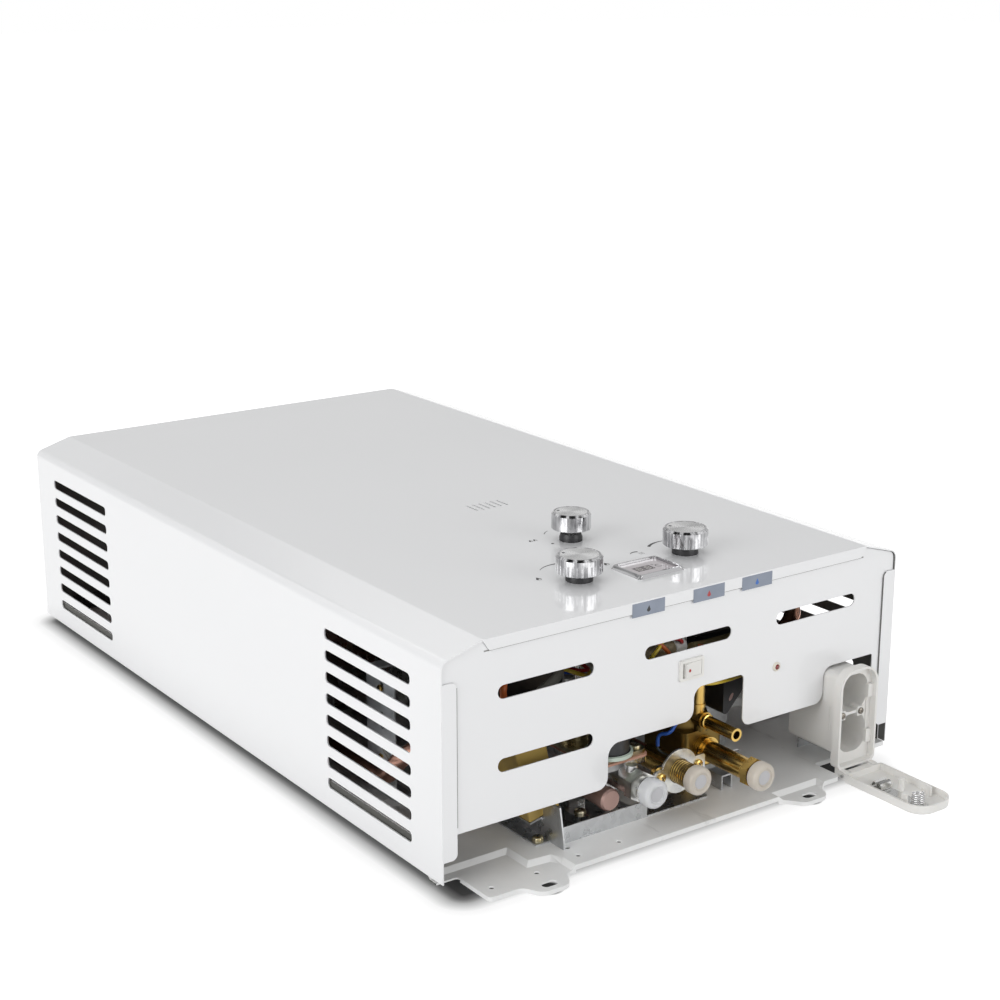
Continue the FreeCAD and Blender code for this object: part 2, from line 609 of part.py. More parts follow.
def display():
    w, h = DISPLAY_SIZE
    cx, cy = DISPLAY_AT[0], n(DISPLAY_AT[1])
    iw, ih = w - 2 * DISPLAY_RIM, h - 2 * DISPLAY_RIM
    low = outline(rect(cx, cy, w, h), plane_xy(DEPTH), 3)
    high = outline(rect(cx, cy, w - 3.4, h - 3.4), plane_xy(DEPTH + DISPLAY_H), 2)
    frame = Part.makeLoft([low, high], True, True)
    sleeve_w, sleeve_h = w - DISPLAY_RIM - FIT, h - DISPLAY_RIM - FIT
    sleeve = box((cx - sleeve_w / 2, cx + sleeve_w / 2), (cy - sleeve_h / 2, cy + sleeve_h / 2),
                 (DEPTH - 5, DEPTH + 0.5))
    hole = slab(rect(cx, cy, iw, ih), plane_xy(DEPTH - 6), (0, 0, 12), 2.5)
    save("display_bezel", fuse([frame, sleeve]).cut(hole))
    glass = slab(rect(cx, cy, iw - 2 * RUN, ih - 2 * RUN), plane_xy(DEPTH - 1.0), (0, 0, 2.0), 2.4)
    save("display_window", glass)
    module = slab(rect(cx, cy, iw - 2 * RUN, ih - 2 * RUN), plane_xy(DEPTH - 1.0 - MODULE_D),
                  (0, 0, MODULE_D), 2.4)
    board = box((cx - w / 2, cx + w / 2), (cy - h / 2, cy + h / 2),
                (DEPTH - 5 - TOUCH - 1.6, DEPTH - 5 - TOUCH))
    save("display_module", fuse([module, board]))


def switch():
    sx, sz = SWITCH_AT
    y0 = PANEL_Y[0] - SWITCH_LIP
    y1 = PANEL_Y[0] + SWITCH_DEPTH
    bw, bh = SWITCH_BEZEL
    w, h = SWITCH_BODY
    rx = ROCKER_SIZE[0] / 2
    tilt = math.radians(ROCKER_TILT)
    face = math.tan(tilt) * rx
    rw, rh = 2 * (rx * math.cos(tilt) + (3.8 + face) * math.sin(tilt) + 0.3), ROCKER_SIZE[1] + 0.3
    lip = slab(rect(sx, sz, bw, bh), plane_xz(y0), (0, SWITCH_LIP, 0), 1.2)
    body = box((sx - w / 2, sx + w / 2), (PANEL_Y[0] - 0.5, y1), (sz - h / 2, sz + h / 2))
    well = box((sx - rw / 2, sx + rw / 2), (y0 - 1, y0 + 10.5), (sz - rh / 2, sz + rh / 2))
    pivot_y = y0 + 3.6
    pin_r = 1.0
    pins = cyl((sx, pivot_y, sz - h / 2 + 0.3), (0, 0, 1), pin_r + RUN, h - 0.6)
    housing = cut(fuse([lip, body]), [well, pins])
    tabs = [box((sx + dx - 0.4, sx + dx + 0.4), (y1 - 0.5, y1 + 7), (sz - 2.4, sz + 2.4)) for dx in (-5, 5)]
    save("rocker_housing", fuse([housing] + tabs))
    prof = [(sx - rx, y0 - 0.2 - face), (sx, y0 - 0.2), (sx + rx, y0 - 0.2 - face), (sx + rx - 0.6, y0 + 4.0),
            (sx + 2.6, y0 + 6.6), (sx - 2.6, y0 + 6.6), (sx - rx + 0.6, y0 + 4.0)]
    rocker = slab(prof, plane_xy(sz - ROCKER_SIZE[1] / 2), (0, 0, ROCKER_SIZE[1]))
    stub = cyl((sx, pivot_y, sz - h / 2 + 0.4), (0, 0, 1), pin_r, h - 0.8)
    rocker = fuse([rocker, stub])
    rocker.rotate(V(sx, pivot_y, sz), V(0, 0, 1), ROCKER_TILT)
    save("rocker", rocker)


def lamp():
    x, z = LAMP_AT
    y = PANEL_Y[0]
    ring = revolve([(LENS_R + RUN, -6), (LENS_R + 0.8, -6), (LENS_R + 0.8, 0), (LAMP_R, 0), (LAMP_R, 0.6),
                    (LAMP_R - 0.6, 1.3), (LENS_R + RUN, 1.3)], (x, y, z), (0, -1, 0))
    save("indicator_bezel", ring)
    lens = revolve([(0, -5), (LENS_R, -5), (LENS_R, 0.6), (LENS_R * 0.7, 1.5), (0, 1.9)], (x, y, z), (0, -1, 0))
    save("indicator_lens", lens)


# ================================================================ battery box
def battery():
    x0, x1 = BOX_X
    z0, z1 = BOX_Z
    yf = n(BOX_FRONT)
    ym = yf + BOX_FLANGE_T
    yb = n(BOX_BACK)
    fx, fz = BOX_FLANGE
    cx, cz = (x0 + x1) / 2, (z0 + z1) / 2
    low = z0 - BOX_BOTTOM_LAP
    floor_y = yf + BOX_RECESS

    def mouth(d):
        top = BOX_R + 2 - d
        return [(x0 - fx + d, low + d, BOX_FOOT_R - d), (x1 + fx - d, low + d, BOX_FOOT_R - d),
                (x1 + fx - d, z1 + fz - d, top), (x0 - fx + d, z1 + fz - d, top)]

    flange = slab(mouth(0.0), plane_xz(yf), (0, BOX_FLANGE_T, 0))
    body = slab(rect(cx, cz, x1 - x0, z1 - z0), plane_xz(ym - 0.5), (0, yb - ym + 0.5, 0), 5)
    cell_w = x1 - x0 - 2 * BOX_WALL
    cell_h = (z1 - z0 - 2 * BOX_WALL - 2.0) / 2
    tools = [slab(mouth(BOX_RIM), plane_xz(yf - 1), (0, BOX_RECESS + 1, 0))]
    for s in (-1, 1):
        tools.append(slab(rect(cx, cz + s * (cell_h / 2 + 1.0), cell_w, cell_h), plane_xz(yf - 1),
                          (0, yb - yf + 1 - BOX_WALL, 0), 11))
    tools.append(slab(rect(cx, cz, cell_w, z1 - z0 - 2 * BOX_WALL), plane_xz(yf - 1), (0, BOX_RECESS + 2, 0), 11))
    tools.append(box((x0 - 0.5, x0 + 0.5), (n(-7.3), n(-5.7)), (34, 51)))
    post = [box((x - 3, x + 3), (floor_y, floor_y + 8), (cz - 3.5, cz + 3.5)) for x in screw_posts()]
    # latch loops on the inside of the mouth
    for z in (cz - 20, cz + 15):
        loop = box((x1 - 2.5, x1 + fx - BOX_RIM + 0.5), (yf + 3.0, floor_y + 0.5), (z - 5, z + 5))
        post.append(loop.cut(box((x1 - 0.5, x1 + 1.5), (yf + 4.2, floor_y + 1), (z - 6, z + 6))))
    lugs = []
    axis_y, lug_w = hinge_y(), 5.0
    for x in (x0 - fx + 2.0, x1 + fx - 2.0 - lug_w):
        lugs.append(slab([(axis_y - 0.1, HINGE_Z - HINGE_EYE_R), (ym - 3.0, HINGE_Z - 1.0), (ym - 3.0, low + 1.5),
                          (yf + 0.2, low + 1.5), (yf + 0.2, HINGE_Z + HINGE_EYE_R),
                          (axis_y - 0.1, HINGE_Z + HINGE_EYE_R)], plane_yz(x), (lug_w, 0, 0)))
        lugs.append(cyl((x, axis_y, HINGE_Z), (1, 0, 0), HINGE_EYE_R, lug_w))
    shell = cut(fuse([flange, body]), tools)
    shell = fuse([shell] + post + lugs)
    holes = [cyl((x0 - fx - 1, axis_y, HINGE_Z), (1, 0, 0), HINGE_PIN_R + RUN, x1 - x0 + 2 * fx + 2)]
    holes += [cyl((x, yf, cz), (0, 1, 0), 1.4, 14) for x in screw_posts()]
    save("battery_box", cut(shell, holes))
    save("hinge_pin", cyl((x0 - fx + 1.0, axis_y, HINGE_Z), (1, 0, 0), HINGE_PIN_R, x1 - x0 + 2 * fx - 2.0))
    # spring plates at the back of the two chambers
    plates = []
    for s in (-1, 1):
        zc = cz + s * (cell_h / 2 + 1.0)
        plates.append(box((cx - 8, cx + 8), (yb - BOX_WALL - 0.6, yb - BOX_WALL), (zc - 8, zc + 8)))
        plates.append(cone((cx, yb - BOX_WALL - 0.6, zc), (0, -1, 0), 5, 2.5, 5))
    save("box_contacts", fuse(plates))
    lid()


def screw_posts():
    """X of the two screws in the wall between the chambers."""
    return [BOX_X[0] + 4.0, BOX_X[1] - 7.0]


def hinge_y():
    """Y of the lid's hinge: the open lid's rim lands on the flange when it closes."""
    return n(BOX_FRONT) - TOUCH - (LID_DEPTH + 0.4 - HINGE_Z)


def lid():
    x0, x1 = BOX_X[0] - BOX_FLANGE[0], BOX_X[1] + BOX_FLANGE[0]
    base = 0.4
    rim = base + LID_DEPTH
    y1 = hinge_y() - HINGE_EYE_R - 0.4
    y0 = y1 - LID_LEN
    far_r = BOX_R + 2
    shape = slab([(x0, y1, 2), (x0, y0, far_r), (x1, y0, far_r), (x1, y1, 2)], plane_xy(base), (0, 0, LID_DEPTH))
    edge = [e for e in shape.Edges if abs(e.BoundBox.ZMax - base) < 1e-6 and abs(e.BoundBox.ZMin - base) < 1e-6]
    shape = shape.makeFillet(1.5, edge)
    hollow = slab([(x0 + LID_WALL, y1 - LID_WALL, 1), (x0 + LID_WALL, y0 + LID_WALL, far_r - LID_WALL),
                   (x1 - LID_WALL, y0 + LID_WALL, far_r - LID_WALL), (x1 - LID_WALL, y1 - LID_WALL, 1)],
                  plane_xy(base + LID_WALL), (0, 0, LID_DEPTH))
    tray = shape.cut(hollow)
    cx = (x0 + x1) / 2
    arm = slab([(y1 - 1.0, base + 0.2), (hinge_y(), HINGE_Z - HINGE_EYE_R), (hinge_y(), HINGE_Z + HINGE_EYE_R),
                (y1 - 1.0, rim)], plane_yz(x0 + 8), (x1 - x0 - 16, 0, 0))
    eye = cyl((x0 + 8, hinge_y(), HINGE_Z), (1, 0, 0), HINGE_EYE_R, x1 - x0 - 16)
    post = cyl((cx + 3, y0 + LID_LEN * 0.52, base + LID_WALL - 0.2), (0, 0, 1), 2.2, 9.2)
    y_latch = hinge_y() + HINGE_Z - (BOX_Z[0] + BOX_Z[1]) / 2 - 11.0
    reach = BOX_WALL + TOUCH + 0.2
    latch = [box((x - 0.8, x + 0.8), (y_latch - 5, y_latch), (base + 1, rim + 2.6))
             for x in (BOX_X[0] + reach + 0.8, BOX_X[1] - reach - 0.8)]
    whole = fuse([tray, arm, eye, post] + latch)
    whole = whole.cut(cyl((x0 - 1, hinge_y(), HINGE_Z), (1, 0, 0), HINGE_PIN_R + RUN, x1 - x0 + 2))
    save("battery_lid", whole)
    floor = base + LID_WALL
    # the coil meets the upper cell and the folded leaf the lower one when the lid is shut
    strip = box((cx - 8.5, cx + 0.5), (y0 + 9, y0 + LID_LEN - 15), (floor, floor + 0.5))
    leaf = y0 + LID_LEN - 23.0
    fold = slab([(leaf - 5, floor + 0.3), (leaf - 1.8, floor + 5.6), (leaf + 1.8, floor + 5.6), (leaf + 5, floor + 0.3),
                 (leaf + 4.1, floor + 0.3), (leaf + 1.3, floor + 5.0), (leaf - 1.3, floor + 5.0),
                 (leaf - 4.1, floor + 0.3)], plane_yz(cx - 9.5), (11, 0, 0))
    coil = revolve([(3.6, 0), (5.6, 0), (5.2, 2.4), (5.6, 4.8), (4.4, 8.0), (2.6, 8.0), (3.6, 3.6)],
                   (cx - 4, y0 + 16, floor + 0.5), (0, 0, 1))
    save("lid_contacts", fuse([strip, fold, coil]))


# ================================================================ gas side
GAS_BLOCK = ((-72.0, -26.0), (30.0, 92.0), (18.0, 46.0))
GASKET_Z = (49.6, 51.2)
GAS_COIL_AT = (-53.0, 17.0)
TRAY_X = (-105.0, -30.0)
TRAY_D = (2.6, 84.0)
TRAY_STRIP = (26.0, 20.0)   # end of the tray's front strip, across and from the near end
TRAY_LIP = 12.0
VALVE_Y = (6.0, 92.0)


def ports_gas():
    gx, gz = GAS_X, PORT_Z
    (bx0, bx1), (bd0, bd1), (bz0, bz1) = GAS_BLOCK
    tray_top = FLOOR_Z + SHEET
    barrel = cyl((gx, n(-6), gz), (0, 1, 0), 9.0, bd0 + 8)
    block = slab([(bx0, bz0), (bx1, bz0), (bx1, bz1), (bx0, bz1)], plane_xz(n(bd0)), (0, bd1 - bd0, 0), 4)
    deck = slab([(bx0, n(VALVE_Y[0])), (bx1, n(VALVE_Y[0])), (bx1, n(VALVE_Y[1])), (bx0, n(VALVE_Y[1]))],
                plane_xy(bz1 - 0.5), (0, 0, GASKET_Z[0] - bz1 + 0.5), 5)
    boss = cyl((gx, n(-1), gz), (0, 0, 1), 4.2, 12.5)
    legs = [box((bx0 + 4, bx0 + 14), (n(d), n(d + 10)), (tray_top, bz0 + 1)) for d in (36, 74)]
    legs += [box((bx1 - 14, bx1 - 4), (n(d), n(d + 10)), (tray_top, bz0 + 1)) for d in (36, 74)]
    lug = slab([(bx0 - 8, n(14)), (bx0 + 4, n(14)), (bx0 + 4, n(46)), (bx0 - 8, n(30))],
               plane_xy(tray_top), (0, 0, 7), 5)
    riser = box((bx0 - 3, bx0 + 4), (n(32), n(44)), (tray_top + 5, bz0 + 6))
    body = fuse([barrel, block, deck, boss, lug, riser] + legs)
    body = body.cut(cyl((bx0 - 2, n(21), tray_top - 1), (0, 0, 1), 2.1, 12))
    bore = cyl((gx, n(-7), gz), (0, 1, 0), 5.5, 40)
    save("gas_valve_body", body.cut(bore))
    gasket = slab([(bx0, n(VALVE_Y[0])), (bx1, n(VALVE_Y[0])), (bx1, n(VALVE_Y[1])), (bx0, n(VALVE_Y[1]))],
                  plane_xy(GASKET_Z[0]), (0, 0, GASKET_Z[1] - GASKET_Z[0]), 5)
    save("gas_gasket", gasket)
    kx, kd, neck = KNOBS[0][1], KNOBS[0][2], KNOBS[0][5]
    lid_plate = slab([(bx0, n(VALVE_Y[0] + 2)), (bx1, n(VALVE_Y[0] + 2)), (bx1, n(VALVE_Y[1])), (bx0, n(VALVE_Y[1]))],
                     plane_xy(GASKET_Z[1]), (0, 0, 3.0), 5)
    hat = revolve([(0, 0), (15, 0), (15, 7), (10, 12), (8, 13), (8, neck - GASKET_Z[1] - 3.0), (0, neck - GASKET_Z[1] - 3.0)],
                  (kx, n(kd), GASKET_Z[1] + 3.0), (0, 0, 1))
    top = fuse([lid_plate, hat])
    top = top.cut(cyl((kx, n(kd), neck - SPINDLE_IN - 2), (0, 0, 1), SPINDLE_R + RUN, SPINDLE_IN + 3))
    save("gas_valve_cover", top)
    # coil of the gas valve
    coil_x, coil_d = GAS_COIL_AT
    coil_z = GASKET_Z[1] + 3.0 + TOUCH
    save("gas_coil", revolve([(0, 0), (16.5, 0), (16.5, 2.5), (14.0, 3.0), (14.0, 16.0), (12.5, 17.5), (0, 17.5)],
                             (coil_x, n(coil_d), coil_z), (0, 0, 1)))
    # inlet nipple: hexagon and thread, and the dust cap
    hex_y = n(-6)
    nip = fuse([hexagon((gx, hex_y, gz), (0, -1, 0), 20.0, 7.0),
                cyl((gx, hex_y - 7, gz), (0, -1, 0), THREAD_R - 0.8, 1.5),
                cyl((gx, hex_y - 8.5, gz), (0, -1, 0), THREAD_R, hex_y - 8.5 - n(GAS_TIP))])
    save("gas_inlet", nip.cut(cyl((gx, hex_y + 1, gz), (0, -1, 0), 5.5, 40)))
    cap("gas_cap", gx, GAS_TIP, GAS_CAP_LEN)
    # magnet valve beside the barrel
    mx, mz = bx0 + 11.5, 25.6
    save("gas_solenoid", revolve([(0, 0), (7.4, 0), (7.4, 18), (8, 18.5), (8, 24), (6.8, 25.6), (0, 25.6)],
                                 (mx, n(bd0) - TOUCH, mz), (0, -1, 0)))
    # tray under the gas valve
    (tx0, tx1), (td0, td1) = TRAY_X, TRAY_D
    base = slab([(tx0, n(td0), 0), (TRAY_STRIP[0], n(td0), 3), (TRAY_STRIP[0], n(TRAY_STRIP[1]), 3),
                 (tx1, n(TRAY_STRIP[1]), 6), (tx1, n(td1), 6), (tx0, n(td1), 0)], plane_xy(FLOOR_Z), (0, 0, SHEET))
    lip = slab([(tx0, FLOOR_Z, 0), (tx1, FLOOR_Z, 0), (tx1, FLOOR_Z + TRAY_LIP, 8), (tx0, FLOOR_Z + TRAY_LIP, 0)],
               plane_xz(n(td0)), (0, SHEET, 0))
    save("valve_tray", fuse([base, lip]).cut(cyl((bx0 - 2, n(21), FLOOR_Z - 1), (0, 0, 1), 2.1, 4)))


def cap(name, x, tip, length):
    """Pull-off dust cap over a thread."""
    r = THREAD_R + CAP_GAP
    ro = r + CAP_WALL
    y = n(tip) - TOUCH - 1.6
    prof = [(0, 0), (ro - 2.4, 0), (ro - 0.4, 1.0), (ro, 2.0), (ro, length), (r, length), (r, 1.6), (0, 1.6)]
    save(name, revolve(prof, (x, y, PORT_Z), (0, 1, 0)))


# ================================================================ water side
VALVE_X = (12.0, 48.0)
VALVE_D = (14.0, 60.0)
VALVE_Z = (24.0, 52.0)
OUT_END = 26.0           # back end of the hot outlet, from the near end
RELIEF_Z = 59.5
STEM_D = 17.0


def ports_water():
    z = PORT_Z
    # hot outlet: brass nipple with a two-bolt flange
    ox = OUT_X
    yb = n(OUT_END)
    seat = n(-5.0)
    nip = fuse([cyl((ox, yb, z), (0, -1, 0), 8.6, yb - seat),
                slab([(ox - 22, z - 6, 5), (ox + 22, z - 6, 5), (ox + 22, z + 6, 5), (ox - 22, z + 6, 5)],
                     plane_xz(seat), (0, 3.0, 0)),
                cyl((ox, seat, z), (0, -1, 0), THREAD_R, seat - n(OUT_TIP))])
    bolts_at = [(ox - 16.5, z - 1.2), (ox + 16.5, z + 1.0)]
    tools = [cyl((ox, yb + 1, z), (0, -1, 0), 5.6, 70)]
    tools += [cyl((bx, seat - 1, bz), (0, 1, 0), 2.1, 6) for bx, bz in bolts_at]
    save("water_outlet", cut(nip, tools))
    washer = fuse([cyl((ox, seat, z), (0, -1, 0), 16.0, 2.0),
                   slab([(ox, z - 6.5, 5), (ox - 23, z - 6.5, 5), (ox - 23, z + 5, 5), (ox, z + 5, 5)],
                        plane_xz(seat - 2.0), (0, 2.0, 0)),
                   slab([(ox, z - 5.5, 2), (ox + 23, z - 5.5, 2), (ox + 23, z + 7.5, 2), (ox, z + 7.5, 2)],
                        plane_xz(seat - 2.0), (0, 2.0, 0))])
    tools = [cyl((ox, seat + 1, z), (0, -1, 0), THREAD_R + 0.2, 5)]
    tools += [cyl((bx, seat - 4, bz), (0, 1, 0), 2.1, 6) for bx, bz in bolts_at]
    save("outlet_flange", cut(washer, tools))
    save("flange_bolts", Part.makeCompound(
        [pan_screw((bx, seat - 2.0, bz), (0, -1, 0), 2.0, 6.5, 3.6, 2.4) for bx, bz in bolts_at]))
    cap("outlet_cap", ox, OUT_TIP, CAP_LEN)
    # water valve: cast block, inlet boss, relief boss and stem, diaphragm bell and spindle neck
    ix = IN_X
    x0, x1 = VALVE_X
    y0, y1 = n(VALVE_D[0]), n(VALVE_D[1])
    block = slab([(x0, y0, 5), (x1, y0, 5), (x1, y1, 5), (x0, y1, 5)], plane_xy(VALVE_Z[0]),
                 (0, 0, VALVE_Z[1] - VALVE_Z[0]))
    bell = revolve([(0, 0), (19, 0), (19, 3), (17, 8), (12, 11), (0, 11)], ((x0 + x1) / 2, (y0 + y1) / 2, VALVE_Z[1] - 0.5),
                   (0, 0, 1))
    under = cyl(((x0 + x1) / 2, (y0 + y1) / 2, FLOOR_Z + TOUCH), (0, 0, 1), 11, VALVE_Z[0] - FLOOR_Z)
    inlet = cyl((ix, y0 + 4, z), (0, -1, 0), 9.6, 6.0)
    relief = fuse([cyl((ix, n(STEM_D) + 6, RELIEF_Z), (0, -1, 0), 6.0, 11.0),
                   cyl((ix, n(STEM_D), VALVE_Z[1] - 1), (0, 0, 1), 5.0, RELIEF_Z - VALVE_Z[1] + 2)])
    stem = cyl((ix - 1.0, n(STEM_D) + 2.0, RELIEF_Z), (0, 0, 1), 4.4, TOWER_Z + 6 - RELIEF_Z)
    collar = cyl((ix - 1.0, n(STEM_D) + 2.0, RELIEF_Z + 9), (0, 0, 1), 5.2, 2.5)
    kx, kd, neck = KNOBS[1][1], KNOBS[1][2], KNOBS[1][5]
    arm = slab([(x1 - 6, y1 - 14, 3), (kx + 9, n(kd) - 9, 6), (kx + 9, n(kd) + 9, 6), (x1 - 16, y1 - 1, 3)],
               plane_xy(VALVE_Z[0] + 4), (0, 0, VALVE_Z[1] - VALVE_Z[0] - 8))
    tower = revolve([(0, 0), (9, 0), (9, 18), (7, 21), (7, neck - VALVE_Z[0] - 4), (0, neck - VALVE_Z[0] - 4)],
                    (kx, n(kd), VALVE_Z[0] + 4), (0, 0, 1))
    body = fuse([block, bell, under, inlet, relief, stem, collar, arm, tower])
    tools = [cyl((ix, y0 - 8, z), (0, 1, 0), 6.0, 26),
             cyl((kx, n(kd), neck - SPINDLE_IN - 2), (0, 0, 1), SPINDLE_R + RUN, SPINDLE_IN + 3)]
    save("water_valve_body", cut(body, tools))
    # inlet pipe with union ring and hexagon
    ub = y0 - 2.0
    hex_at = n(IN_TIP + 13)
    pipe = fuse([cyl((ix, ub, z), (0, -1, 0), 9.8, 4.0), cyl((ix, ub - 4, z), (0, -1, 0), 8.6, 1.6),
                 cyl((ix, ub, z), (0, -1, 0), 7.6, ub - hex_at + 1),
                 hexagon((ix, hex_at, z), (0, -1, 0), 19.0, 6.0),
                 cyl((ix, hex_at - 5, z), (0, -1, 0), THREAD_R, hex_at - 5 - n(IN_TIP))])
    save("water_inlet_pipe", pipe.cut(cyl((ix, ub + 1, z), (0, -1, 0), 5.6, 90)))
    cap("inlet_cap", ix, IN_TIP, CAP_LEN)
    # drain and relief spout
    spout_y = n(STEM_D) - 5.0
    spout = revolve([(3.0, 0), (5.2, 0), (5.2, 3), (4.4, 3.4), (4.4, 30), (4.7, 30.4), (4.7, 32), (3.0, 32)],
                    (ix, spout_y, RELIEF_Z), (0, -1, 0))
    save("relief_spout", spout)


# ================================================================ control electronics
MODULE_X = (-96.0, -30.0)
MODULE_AT = (98.0, 128.0)
MODULE_Z = (74.0, 132.0)
MODULE_LEGS = (-90.0, -70.0)
IGNITER_X = (62.0, 104.0)
IGNITER_D = (30.0, 62.0)
IGNITER_Z = (45.0, 100.0)
IGNITER_END_Z = 90.0     # lower edge at its right end
IGNITER_LEG_X = (70.0, 96.0)
CTRL_TILT = 13.6
CTRL_AT = (-116.8, 20.0, 18.6)
CTRL_SIZE = (25.5, 40.0, 68.0)


def electronics():
    bx, bd, bz = CTRL_AT
    w, dpt, h = CTRL_SIZE
    case = slab(rect(bx + w / 2, n(bd) + dpt / 2, w, dpt), plane_xy(bz), (0, 0, h), 1.5)
    case = fuse([case, box((bx + 4, bx + w - 4), (n(bd) + 6, n(bd) + dpt - 6), (bz + h - 1, bz + h + 5))])
    case.rotate(V(bx, 0, bz), V(0, 1, 0), -CTRL_TILT)
    save("ignition_controller", case)
    web_x = (-107.5, -106.3)
    base = box((bx - 2.2, web_x[1]), (n(10), n(bd + dpt)), (FLOOR_Z, FLOOR_Z + 1.2))
    t = math.tan(math.radians(CTRL_TILT))
    z_web = bz + (web_x[0] - bx) * t - TOUCH - 1.2
    web = slab([(n(-5), FLOOR_Z), (n(bd + dpt), FLOOR_Z), (n(bd + dpt), z_web), (n(bd - 2), z_web),
                (n(bd - 2), SKIRT_Z - 3), (n(-5) + 5, SKIRT_Z - 3), (n(-5), FLOOR_Z + 4)],
               plane_yz(web_x[0]), (web_x[1] - web_x[0], 0, 0))
    shelf = box((bx, bx + w), (n(bd), n(bd + dpt)), (bz - TOUCH - 1.2, bz - TOUCH))
    shelf.rotate(V(bx, 0, bz), V(0, 1, 0), -CTRL_TILT)
    bracket = fuse([base, web, shelf])
    bracket = bracket.cut(cyl((bx + 3.6, n(16), FLOOR_Z - 1), (0, 0, 1), 2.1, 4))
    save("controller_bracket", bracket)
    # black control box behind it, on two legs
    mx, md, mz = MODULE_X, MODULE_AT, MODULE_Z
    shell = slab([(mx[0], n(md[0])), (mx[1], n(md[0])), (mx[1], n(md[1])), (mx[0], n(md[1]))],
                 plane_xy(mz[0]), (0, 0, mz[1] - mz[0]), 2)
    rows = [box((mx[0] + 6 + i * 9, mx[0] + 10 + i * 9), (n(md[0]) - 1, n(md[0]) + 1.5), (mz[1] - 22, mz[1] - 6))
            for i in range(6)]
    save("control_module", cut(shell, rows))
    # black igniter on the right of the water valve, its lower edge rising to the right
    (ix0, ix1), (iz0, iz1) = IGNITER_X, IGNITER_Z
    save("igniter", slab([(ix0, iz0, 3), (ix0, iz1, 3), (ix1, iz1, 3), (ix1, IGNITER_END_Z, 2)],
                         plane_xz(n(IGNITER_D[0])), (0, IGNITER_D[1] - IGNITER_D[0], 0)))


# ================================================================ burner and heat exchanger
BURN_X = WIDTH / 2 - 84.0
BURN_D = (196.0, 318.0)
BURN_Z = (24.0, 132.0)
CORE_D = (LENGTH - 120.0, LENGTH - 48.0)
CHAMBER_D = (BURN_D[1], CORE_D[0])
BARS = 10
BAR_T = 11.0
BAR_WALL = 0.8
LINK_D = 116.0           # the gas pipe climbs from here
LINK_Z = (34.0, 54.0)
PIPE_SIDE = WIDTH / 2 - 28.0
HOT_FOOT = (112.0, 32.0)
HOT_CROSS = (84.0, 62.0)
COLD_CROSS = (84.0, 38.0)
COLD_KNEE = (118.0, 58.0)
COLD_TOP = (58.0, 98.0)
COLD_FALL = (150.0, 96.0)
COLD_DEEP = 205.0
BRACKET_D = (122.0, 158.0)
BRACKET_ARM = 12.0
BRACKET_TOP = 98.0
BRACKET_TAB = 18.0


